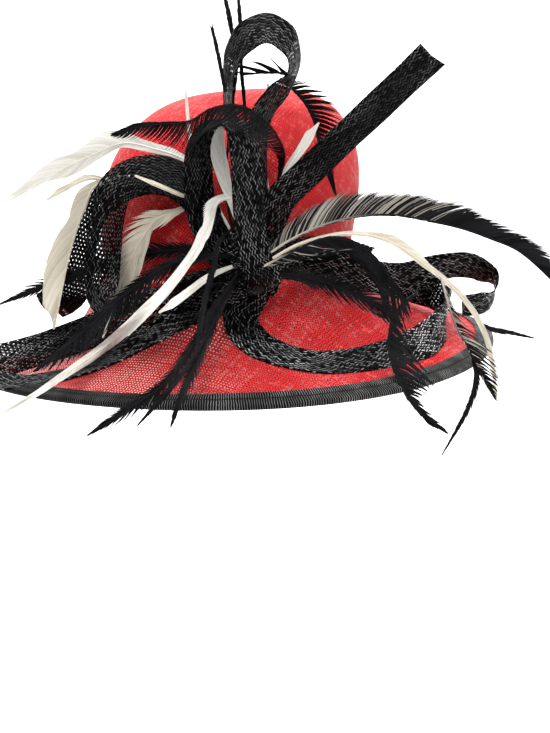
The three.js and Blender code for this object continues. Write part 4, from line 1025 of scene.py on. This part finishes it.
# feathers: tone and route, from the root at the bow to the tip
featherTable = {
    "feather_arch_black": ("black", [
        seen(262, 244, 112, 1, 1),
        seen(270, 210, 109, 1, 1),
        seen(279, 180, 110, 2, 1, tilt=10),
        seen(284, 157, 117, 8, 1, tilt=14),
        seen(278, 138, 130, 14, 1, tilt=18),
        seen(263, 119, 146, 19, 1, tilt=20),
        seen(239, 106, 159, 21, 1, tilt=20),
        seen(214, 108, 158, 20, 1, tilt=16),
        seen(190, 121, 146, 15, 1, tilt=10),
        seen(166, 124, 134, 11, 2, tilt=5),
        seen(142, 126, 126, 7, 3),
        seen(112, 134, 120, 0.6, 0.6),
    ]),
    "feather_white_long": ("white", [
        seen(250, 250, 132, 1, 1),
        seen(245, 220, 134, 1, 1),
        seen(234, 199, 137, 2, 2),
        seen(219, 201, 140, 4, 4),
        seen(209, 221, 142, 5, 4.5),
        seen(196, 248, 144, 4, 4),
        seen(172, 282, 149, 5, 5),
        seen(140, 316, 161, 5.5, 5.5),
        laid(104, 347, 12, 5, 5, tilt=0),
        laid(64, 375, 12, 4, 4, tilt=0),
        seen(26, 400, 196, 2.5, 2.5),
        seen(-4, 416, 198, 0.5, 0.5),
    ]),
    "feather_white_up": ("white", [
        seen(246, 248, 130, 1, 1),
        seen(236, 215, 128, 3, 3),
        seen(227, 184, 127, 6, 5),
        seen(222, 155, 127, 5, 4),
        seen(222, 124, 128, 0.5, 0.5),
    ]),
    "feather_white_left": ("white", [
        seen(236, 240, 112, 1, 1),
        seen(216, 204, 108, 1, 1),
        seen(200, 172, 106, 2, 2),
        seen(182, 158, 101, 4, 4),
        seen(155, 149, 94, 5, 6),
        seen(124, 143, 88, 8, 8),
        seen(92, 155, 84, 9, 9),
        seen(62, 169, 82, 5, 8),
        seen(34, 185, 80, 3.5, 5),
        seen(-5, 208, 80, 0.5, 0.5),
    ]),
    "feather_cream_side": ("cream", [
        seen(118, 184, 100, 2, 2),
        seen(92, 178, 98, 3, 3),
        seen(70, 186, 96, 3.5, 3.5),
        seen(47, 200, 96, 0.5, 0.5),
    ]),
    "feather_cream_down": ("cream", [
        seen(130, 176, 112, 1, 1),
        seen(112, 178, 103, 1, 2),
        seen(93, 188, 98, 1.5, 6),
        seen(85, 206, 96, 1.5, 12),
        seen(76, 230, 94, 1, 14),
        seen(67, 263, 94, 1, 12),
        seen(60, 297, 96, 0.8, 5.5),
        seen(54, 328, 98, 0.5, 0.5),
    ]),
    "feather_cream_fan": ("cream", [
        seen(194, 204, 105, 1, 1),
        seen(177, 211, 106, 7, 5),
        seen(157, 219, 104, 12, 9),
        seen(143, 237, 104, 13, 13),
        seen(131, 259, 103, 10, 9),
        seen(117, 296, 102, 5, 3),
        seen(103, 337, 106, 0.5, 0.5),
    ]),
    "feather_cream_slim": ("cream", [
        seen(197, 200, 117, 1, 1),
        seen(184, 196, 123, 2, 2),
        seen(160, 186, 122, 2.5, 2.5),
        seen(136, 176, 120, 0.5, 0.5),
    ]),
    "feather_black_left": ("black", [
        seen(230, 256, 110, 1, 1),
        seen(192, 250, 105, 5, 5),
        seen(150, 253, 95, 7, 7),
        seen(110, 264, 88, 7.5, 7.5),
        seen(74, 275, 86, 7.5, 7),
        seen(46, 285, 86, 5, 5),
        seen(-2, 305, 86, 0.5, 0.5),
    ]),
    "feather_black_sweep": ("black", [
        seen(244, 256, 134, 1, 1),
        seen(198, 256, 142, 7, 3),
        seen(163, 268, 142, 11, 4),
        seen(128, 292, 144, 12, 4),
        seen(98, 318, 152, 11, 4),
        seen(68, 345, 164, 7, 3),
        seen(34, 371, 176, 0.5, 0.5),
    ]),
    "feather_white_small": ("white", [
        seen(244, 262, 132, 1, 1),
        seen(212, 275, 144, 4, 3),
        seen(186, 293, 150, 5, 4),
        seen(160, 312, 156, 0.5, 0.5),
    ]),
    "feather_drop_strand": ("black", [
        seen(246, 250, 134, 1, 1),
        seen(236, 229, 143, 1, 1),
        seen(221, 240, 150, 2, 2),
        seen(214, 265, 153, 2.5, 2.5),
        seen(205, 300, 160, 2.5, 2.5),
        seen(199, 335, 172, 2, 2),
        seen(196, 362, 184, 0.5, 0.5),
    ]),
    "feather_drop_long": ("black", [
        seen(245, 270, 132, 1, 1),
        seen(224, 300, 150, 3, 3),
        seen(208, 335, 166, 4.5, 4.5),
        seen(192, 372, 190, 4.5, 4.5),
        seen(180, 400, 206, 3, 3),
        seen(171, 426, 212, 0.5, 0.5),
    ]),
    "feather_drop_wide": ("black", [
        seen(243, 266, 134, 1, 1),
        seen(212, 312, 158, 3, 3),
        seen(190, 350, 176, 4, 4),
        seen(164, 384, 200, 5, 4.5),
        seen(130, 408, 214, 5, 4.5),
        seen(88, 435, 218, 0.5, 0.5),
    ]),
    "feather_drop_slim": ("black", [
        seen(209, 333, 165, 1, 1),
        seen(182, 374, 200, 2.5, 2.5),
        seen(160, 400, 216, 2.5, 2.5),
        seen(138, 425, 222, 0.5, 0.5),
    ]),
    "feather_right_long": ("black", [
        seen(258, 262, 138, 1, 1),
        seen(288, 241, 137, 12, 1.5),
        seen(320, 226, 134, 16, 1.5),
        seen(360, 216, 128, 14, 1.5),
        seen(396, 215, 121, 16, 1.5),
        seen(426, 220, 114, 16, 1.5),
        seen(458, 227, 108, 12, 1.5),
        seen(490, 238, 102, 11, 1.5),
        seen(520, 252, 96, 11, 1),
        seen(566, 294, 90, 0.5, 0.5),
    ]),
    "feather_right_cream": ("cream", [
        seen(260, 266, 142, 1, 1),
        seen(300, 244, 142, 1.5, 1.5),
        seen(344, 234, 138, 2.5, 2),
        seen(378, 237, 132, 5, 3),
        seen(402, 248, 126, 5, 4),
        seen(424, 264, 118, 3.5, 3),
        seen(442, 278, 112, 3.5, 3),
        seen(459, 294, 108, 3.5, 3),
        seen(473, 312, 106, 3.5, 3),
        seen(485, 336, 104, 3.5, 2.5),
        seen(492, 366, 102, 3, 2),
        seen(497, 401, 102, 0.5, 0.5),
    ]),
    "feather_right_thin": ("white", [
        seen(398, 213, 118, 0.8, 0.8),
        seen(432, 206, 108, 1, 1),
        seen(470, 199, 104, 1.2, 1.2),
        seen(506, 189, 102, 1.2, 1.2),
        seen(538, 171, 100, 0.5, 0.5),
    ]),
    "feather_right_black": ("black", [
        seen(260, 268, 146, 1, 2),
        seen(296, 250, 148, 1.5, 12),
        seen(330, 238, 146, 1.5, 20),
        seen(356, 244, 142, 2, 24),
        seen(379, 263, 138, 2, 22),
        seen(394, 284, 136, 2, 13),
        seen(409, 305, 136, 0.6, 0.6),
    ]),
    "feather_right_low": ("black", [
        seen(262, 272, 138, 1, 1),
        seen(300, 276, 141, 6, 7),
        seen(340, 288, 146, 8, 8),
        seen(374, 304, 150, 6, 6),
        seen(402, 326, 156, 0.6, 0.6),
    ]),
    "feather_curl_black": ("black", [
        seen(418, 292, 118, 1, 1),
        seen(404, 302, 128, 4, 1),
        seen(392, 322, 140, 15, 1),
        seen(389, 345, 150, 22, 1),
        seen(395, 370, 160, 17, 1.5),
        seen(408, 396, 168, 4.5, 2),
        seen(426, 417, 172, 3.5, 2.5),
        seen(447, 433, 174, 0.5, 0.5),
    ]),
    "feather_rim_mixed": ("black", [
        seen(441, 277, 112.5, 0.8, 0.8),
        seen(448, 303, 113, 4, 0.8),
        seen(457, 328, 114, 10, 1),
        seen(468, 347, 120, 12, 1.5),
        seen(477, 366, 122, 9, 2),
        seen(486, 382, 122, 4, 2),
        seen(495, 399, 122, 0.5, 0.5),
    ]),
    "feather_rim_drop": ("black", [
        seen(472, 356, 118, 1, 1),
        seen(476, 378, 122, 3, 2.5),
        seen(468, 408, 124, 2.5, 2.5),
        seen(442, 455, 126, 0.5, 0.5),
    ]),
    "feather_rim_spike": ("black", [
        seen(478, 322, 103, 1, 1),
        seen(492, 329, 100, 2.5, 2.5),
        seen(512, 333, 98, 2, 2),
        seen(534, 338, 96, 0.5, 0.5),
    ]),
    "feather_crown_black": ("black", [
        seen(336, 196, 84, 0.6, 0.6),
        seen(328, 168, 92, 2, 2),
        seen(320, 140, 96, 2, 6),
        seen(314, 120, 96, 1, 12),
        seen(306, 104, 96, 1, 13),
        seen(290, 86, 96, 1, 8),
        seen(280, 78, 96, 0.5, 0.5),
    ]),
    "feather_crown_white": ("white", [
        seen(266, 208, 108, 1, 1),
        seen(280, 180, 106, 3, 3),
        seen(298, 154, 103, 6, 4),
        seen(318, 124, 98, 0.6, 0.6),
    ]),
    "feather_top_black": ("black", [
        seen(296, 78, 120, 1, 1),
        seen(280, 73, 116, 1.5, 7),
        seen(262, 73, 114, 1, 7),
        seen(243, 75, 113, 0.5, 0.5),
    ]),
    "feather_top_tuft": ("black", [
        seen(225, 92, 120, 1, 1),
        seen(220, 64, 118, 2, 2),
        seen(212, 28, 116, 1.5, 1.5),
    ]),
    "feather_tall_left": ("black", [
        seen(234, 246, 112, 1, 1),
        seen(226, 180, 109, 1, 1),
        seen(232, 110, 110, 1.2, 1.2),
        seen(236, 62, 112, 2, 2),
        seen(230, 22, 112, 2.5, 2.5),
        seen(220, -26, 110, 0.5, 0.5),
    ]),
    "feather_tall_right": ("black", [
        seen(250, 246, 112, 1, 1),
        seen(248, 180, 109, 1, 1),
        seen(245, 112, 110, 1.4, 1.4),
        seen(241, 62, 112, 2, 2),
        seen(240, 20, 112, 2, 2),
        seen(236, -32, 110, 0.5, 0.5),
    ]),
    "feather_slim_left": ("white", [
        seen(198, 170, 105.5, 1, 1),
        seen(191, 142, 104, 1.5, 1.5),
        seen(188, 118, 102, 1.5, 1.5),
        seen(186, 93, 100, 0.8, 0.8),
    ]),
    "feather_slim_right": ("white", [
        seen(271, 206, 109, 0.8, 0.8),
        seen(265, 165, 108, 0.8, 0.8),
        seen(266, 118, 105, 1.2, 1.2),
        seen(268, 85, 103, 0.6, 0.6),
    ]),
}
# Barbs of each tone: spacing and halfWidth are millimetres, angle and clump degrees. Their length varies
# by the share jitter, and gather draws their ends together into locks of about lock millimetres.
vaneLook = {
    "black": {"spacing": 0.62, "halfWidth": 0.34, "angle": 42, "jitter": 0.12, "clump": 7.0, "lock": 4.2,
              "gather": 0.6},
    "cream": {"spacing": 0.6, "halfWidth": 0.65, "angle": 27, "jitter": 0.02, "clump": 1.0, "lock": 14.0,
              "gather": 0.02},
    "white": {"spacing": 0.6, "halfWidth": 0.7, "angle": 27, "jitter": 0.02, "clump": 1.0, "lock": 18.0,
              "gather": 0.02},
}
# Feathers whose vane is looser or closer than the rest of their tone. longer lengthens the barbs on the
# left and right of the quill, and where rootFirst is False the barbs lean towards the first row.
vaneChanges = {
    "feather_crown_black": {"spacing": 0.6, "halfWidth": 0.28, "lock": 2.8, "gather": 0.7, "angle": 58,
                            "clump": 2.0, "rootFirst": False, "longer": (1.3, 1.3)},
    "feather_top_black": {"lock": 7.0, "gather": 0.95, "angle": 30},
    "feather_arch_black": {"spacing": 0.6, "halfWidth": 0.24, "lock": 3.0, "gather": 0.4, "angle": 58,
                           "clump": 4.0},
    "feather_cream_fan": {"spacing": 0.8, "halfWidth": 0.42, "lock": 4.0, "gather": 0.5, "jitter": 0.12},
    "feather_crown_white": {"spacing": 0.9, "halfWidth": 0.35, "lock": 3.0, "gather": 0.2, "jitter": 0.1,
                            "longer": (1.0, 1.3)},
    "feather_white_up": {"longer": (1.25, 1.0), "angle": 32},
    "feather_right_long": {"spacing": 0.55, "halfWidth": 0.36, "lock": 5.0, "gather": 0.1, "angle": 40,
                           "clump": 3.0, "jitter": 0.05},
    "feather_curl_black": {"spacing": 0.5, "halfWidth": 0.38, "lock": 6.0, "gather": 0.5, "angle": 54,
                           "clump": 6.0, "jitter": 0.3},
    "feather_rim_mixed": {"spacing": 0.5},
}
# share of the barbs that are of the other tone, and up to which part of the quill
mixedBarbs = {
    "feather_right_long": {"share": 0.55, "upTo": 0.6},
    "feather_right_black": {"share": 0.22, "upTo": 0.3},
    "feather_rim_mixed": {"share": 0.6, "upTo": 0.9},
}
# the other tone: how far up the quill is pale, as a share of upTo, and its least strength on a barb
mixedLook = {"quillShare": 0.6, "least": 0.55}
# a barb from its quill to its tip: how far out, degrees turned from its angle, share of its full breadth
barbShape = [
    dict(out=0.0, bend=6, width=1.0),
    dict(out=0.38, bend=3, width=1.0),
    dict(out=0.72, bend=-6, width=0.75),
    dict(out=1.0, bend=-14, width=0.1),
]
# All barbs: a vane narrower than leastWidth has none, and one narrower than fullWidth lies closer to its
# quill. leastAngle and mostReach keep slim barbs short. lift and droop are off the vane's face.
barbLook = {
    "leastWidth": 0.35,
    "fullWidth": 8,
    "slimSpread": 0.4,
    "clumpEvery": 0.16,
    "clumpSide": 3.3,
    "splitEvery": 0.05,
    "splitPiece": 2.9,
    "splitShare": 0.5,
    "tipClosing": 0.35,
    "leastAngle": 16,
    "leastTurned": 8,
    "leastLever": 14,
    "mostReach": 2.6,
    "lift": 0.3,
    "droop": 0.06,
    "toneClump": 0.4,
    "toneSpread": 0.7,
}
quillLook = {"root": 0.75, "tip": 0.18, "sides": 6, "step": 4}
noiseLook = {"octaves": (1, 2.3, 4.1), "seedStep": 1.7, "sum": 1.7}


def softNoise(place, seed):
    total = 0.0
    for octave in noiseLook["octaves"]:
        total += math.sin(place * octave + seed * noiseLook["seedStep"] * octave) / octave
    return total / noiseLook["sum"]


# one corner of a feather, with its map, its tone and its share of the other tone
def addCorner(vane, corner, cloth, tone, otherTone):
    vane["corners"].append(corner)
    vane["cloth"].append(cloth)
    vane["tones"].append(tone)
    vane["otherTones"].append(otherTone)


def addQuill(vane, stations, mixed):
    last = len(stations) - 1
    rings = list(range(0, last, quillLook["step"])) + [last]
    sides = quillLook["sides"]
    for order, n in enumerate(rings):
        station = stations[n]
        share = n / last
        radius = quillLook["root"] + (quillLook["tip"] - quillLook["root"]) * share
        paleRoot = 0.0
        if mixed:
            paleRoot = max(1 - share / (mixed["upTo"] * mixedLook["quillShare"]), 0)
        for side in range(sides):
            turned = 2 * math.pi * side / sides
            corner = station["centre"] + station["widthway"] * (radius * math.cos(turned))
            corner += station["face"] * (radius * math.sin(turned))
            addCorner(vane, corner, (share, 0.0), 0.0, paleRoot)
        if order:
            first = (order - 1) * sides
            for side in range(sides):
                after = (side + 1) % sides
                corners = (side, after, sides + after, sides + side)
                vane["faces"].append(tuple(first + corner for corner in corners))
    end = len(vane["corners"])
    vane["faces"].append(tuple(range(sides))[::-1])
    vane["faces"].append(tuple(range(end - sides, end)))


# where each lock ends along the quill
def lockEndsOf(lock, length):
    ends = [0.0]
    while ends[-1] < length:
        ends.append(ends[-1] + lock * (0.5 + random.random()))
    return ends


def addBarb(vane, station, side, barb):
    start = len(vane["corners"])
    place = station["centre"] + station["face"] * barb["lift"]
    outBefore = 0.0
    for bend in barbShape:
        turned = math.radians(max(barb["angle"] + bend["bend"], barbLook["leastTurned"]))
        heading = station["widthway"] * (side * math.sin(turned)) + station["tangent"] * math.cos(turned)
        place = place + heading * (barb["reach"] * (bend["out"] - outBefore))
        outBefore = bend["out"]
        droop = station["face"] * (-barbLook["droop"] * barb["width"] * bend["out"] ** 2)
        broad = station["face"].cross(heading) * (barb["halfWidth"] * bend["width"])
        for edge in (-1, 1):
            addCorner(vane, place + droop + broad * edge, (barb["share"], bend["out"]),
                      barb["tone"], barb["other"])
    for part in range(len(barbShape) - 1):
        first = start + part * 2
        vane["faces"].append((first, first + 1, first + 3, first + 2))


def meshOf(vane, name):
    mesh = bpy.data.meshes.new(name)
    mesh.from_pydata([tuple(corner * toMetres) for corner in vane["corners"]], [], vane["faces"])
    layer = mesh.uv_layers.new(name="vane")
    for loop in mesh.loops:
        layer.data[loop.index].uv = vane["cloth"][loop.vertex_index]
    for label, values in (("barbTone", vane["tones"]), ("otherTone", vane["otherTones"])):
        mesh.attributes.new(label, "FLOAT", "POINT").data.foreach_set("value", values)
    mesh.update()
    piece = bpy.data.objects.new(name, mesh)
    bpy.context.scene.collection.objects.link(piece)
    return piece


def makeFeather(number, name, featherTone, rows):
    look = vaneLook[featherTone] | vaneChanges.get(name, {})
    if not look.get("rootFirst", True):
        rows = [row | {"left": row["right"], "right": row["left"]} for row in reversed(rows)]
    longerLeft, longerRight = look.get("longer", (1, 1))
    mixed = mixedBarbs.get(name)
    stations = stationsAlong(rows, look["spacing"])
    last = len(stations) - 1
    vane = {"corners": [], "faces": [], "cloth": [], "tones": [], "otherTones": []}
    addQuill(vane, stations, mixed)
    lockEnds = {side: lockEndsOf(look["lock"], stations[last]["length"]) for side in (1, -1)}
    for n in range(1, last):
        station = stations[n]
        length = station["length"]
        share = n / last
        for side, word, longer in ((1, "left", longerLeft), (-1, "right", longerRight)):
            width = valueAt(rows, word, station["at"])
            if width < barbLook["leastWidth"]:
                continue
            clump = softNoise(length * barbLook["clumpEvery"], number + side * barbLook["clumpSide"])
            split = softNoise(length * barbLook["splitEvery"], number * barbLook["splitPiece"] + side)
            slim = barbLook["slimSpread"]
            spread = slim + (1 - slim) * min(width / barbLook["fullWidth"], 1)
            angle = spread * (look["angle"] * (1 - barbLook["tipClosing"] * share) + look["clump"] * clump)
            reach = longer * width / math.sin(math.radians(max(angle, barbLook["leastAngle"])))
            ends = lockEnds[side]
            lock = max(sum(end < length for end in ends), 1)
            lockMiddle = (ends[lock - 1] + ends[min(lock, len(ends) - 1)]) / 2
            lever = max(reach, barbLook["leastLever"])
            angle += spread * math.degrees(look["gather"] * (length - lockMiddle) / lever)
            uneven = random.random() * 2 - 1 + barbLook["splitShare"] * split
            reach = min(reach * (1 + look["jitter"] * uneven), longer * width * barbLook["mostReach"])
            lift = (random.random() - 0.5) * barbLook["lift"]
            uneven = barbLook["toneClump"] * clump + (random.random() - 0.5) * barbLook["toneSpread"]
            tone = min(max(0.5 + uneven, 0), 1)
            otherChance = mixed["share"] * max(1 - (share / mixed["upTo"]) ** 2, 0) if mixed else 0
            other = 0.0
            if random.random() < otherChance:
                other = mixedLook["least"] + (1 - mixedLook["least"]) * random.random()
            addBarb(vane, station, side, {
                "share": share,
                "angle": angle,
                "reach": reach,
                "width": width,
                "halfWidth": look["halfWidth"],
                "lift": lift,
                "tone": tone,
                "other": other,
            })
    piece = meshOf(vane, name + "_barbs")
    slotName = "black_feather" if featherTone == "black" else "pale_feather"
    finishPiece(piece, name + "_barbs", slotName, featherMaterials[featherTone], name)


for number, (name, (featherTone, rows)) in enumerate(featherTable.items()):
    makeFeather(number, name, featherTone, rows)
print("feathers made", len(featherTable))

# floor and backdrop: one pale sweep below and behind, in metres
stageLook = {
    "floor": -0.42,
    "front": -3.0,
    "wall": 1.6,
    "round": 0.8,
    "high": 3.2,
    "halfWide": 3.5,
    "colour": (0.93, 0.93, 0.93, 1),
    "roughness": 0.95,
}
bpy.ops.object.select_all(action="DESELECT")
bpy.ops.mesh.primitive_grid_add(x_subdivisions=2, y_subdivisions=48, size=1)
sweep = bpy.context.object
sweep.name = "floor_sweep"
flat = stageLook["wall"] - stageLook["front"] - stageLook["round"]
curved = stageLook["round"] * math.pi / 2
upright = stageLook["high"] - stageLook["round"]
for vertex in sweep.data.vertices:
    way = (vertex.co.y + 0.5) * (flat + curved + upright)
    if way < flat:
        y, z = stageLook["front"] + way, 0
    elif way < flat + curved:
        turned = (way - flat) / stageLook["round"]
        y = stageLook["front"] + flat + stageLook["round"] * math.sin(turned)
        z = stageLook["round"] * (1 - math.cos(turned))
    else:
        y, z = stageLook["wall"], stageLook["round"] + way - flat - curved
    vertex.co = (vertex.co.x * 2 * stageLook["halfWide"], y, z + stageLook["floor"])
bpy.ops.object.shade_smooth()
sweepMaterial, tree, shader = newMaterial("pale_floor", stageLook["roughness"])
shader["Base Color"].default_value = stageLook["colour"]
sweep.data.materials.append(sweepMaterial)

# soft studio light, in metres and watts, shown with its whites plain
lightTable = [
    dict(name="key", place=(-0.3, -2.1, 1.6), target=(0, 0, 0), size=0.9, power=38),
    dict(name="fill", place=(1.7, -1.6, 0.5), target=(0, 0, 0), size=1.2, power=24),
    dict(name="top", place=(0.1, 0.1, 1.9), target=(0, 0, 0), size=1.2, power=16),
    dict(name="backdrop", place=(0, 0.5, 1.6), target=(0, 1.6, 0.2), size=2.4, power=85),
]
studioLook = {"colour": (1, 1, 1, 1), "strength": 0.28, "transform": "Standard"}
for light in lightTable:
    data = bpy.data.lights.new(light["name"], "AREA")
    data.size = light["size"]
    data.energy = light["power"]
    lamp = bpy.data.objects.new(light["name"], data)
    bpy.context.scene.collection.objects.link(lamp)
    lamp.location = light["place"]
    away = Vector(light["place"]) - Vector(light["target"])
    lamp.rotation_euler = away.to_track_quat("Z", "Y").to_euler()
world = bpy.data.worlds.new("studio")
world.use_nodes = True
world.node_tree.nodes["Background"].inputs["Color"].default_value = studioLook["colour"]
world.node_tree.nodes["Background"].inputs["Strength"].default_value = studioLook["strength"]
bpy.context.scene.world = world
bpy.context.scene.view_settings.view_transform = studioLook["transform"]
print("stage and light made")
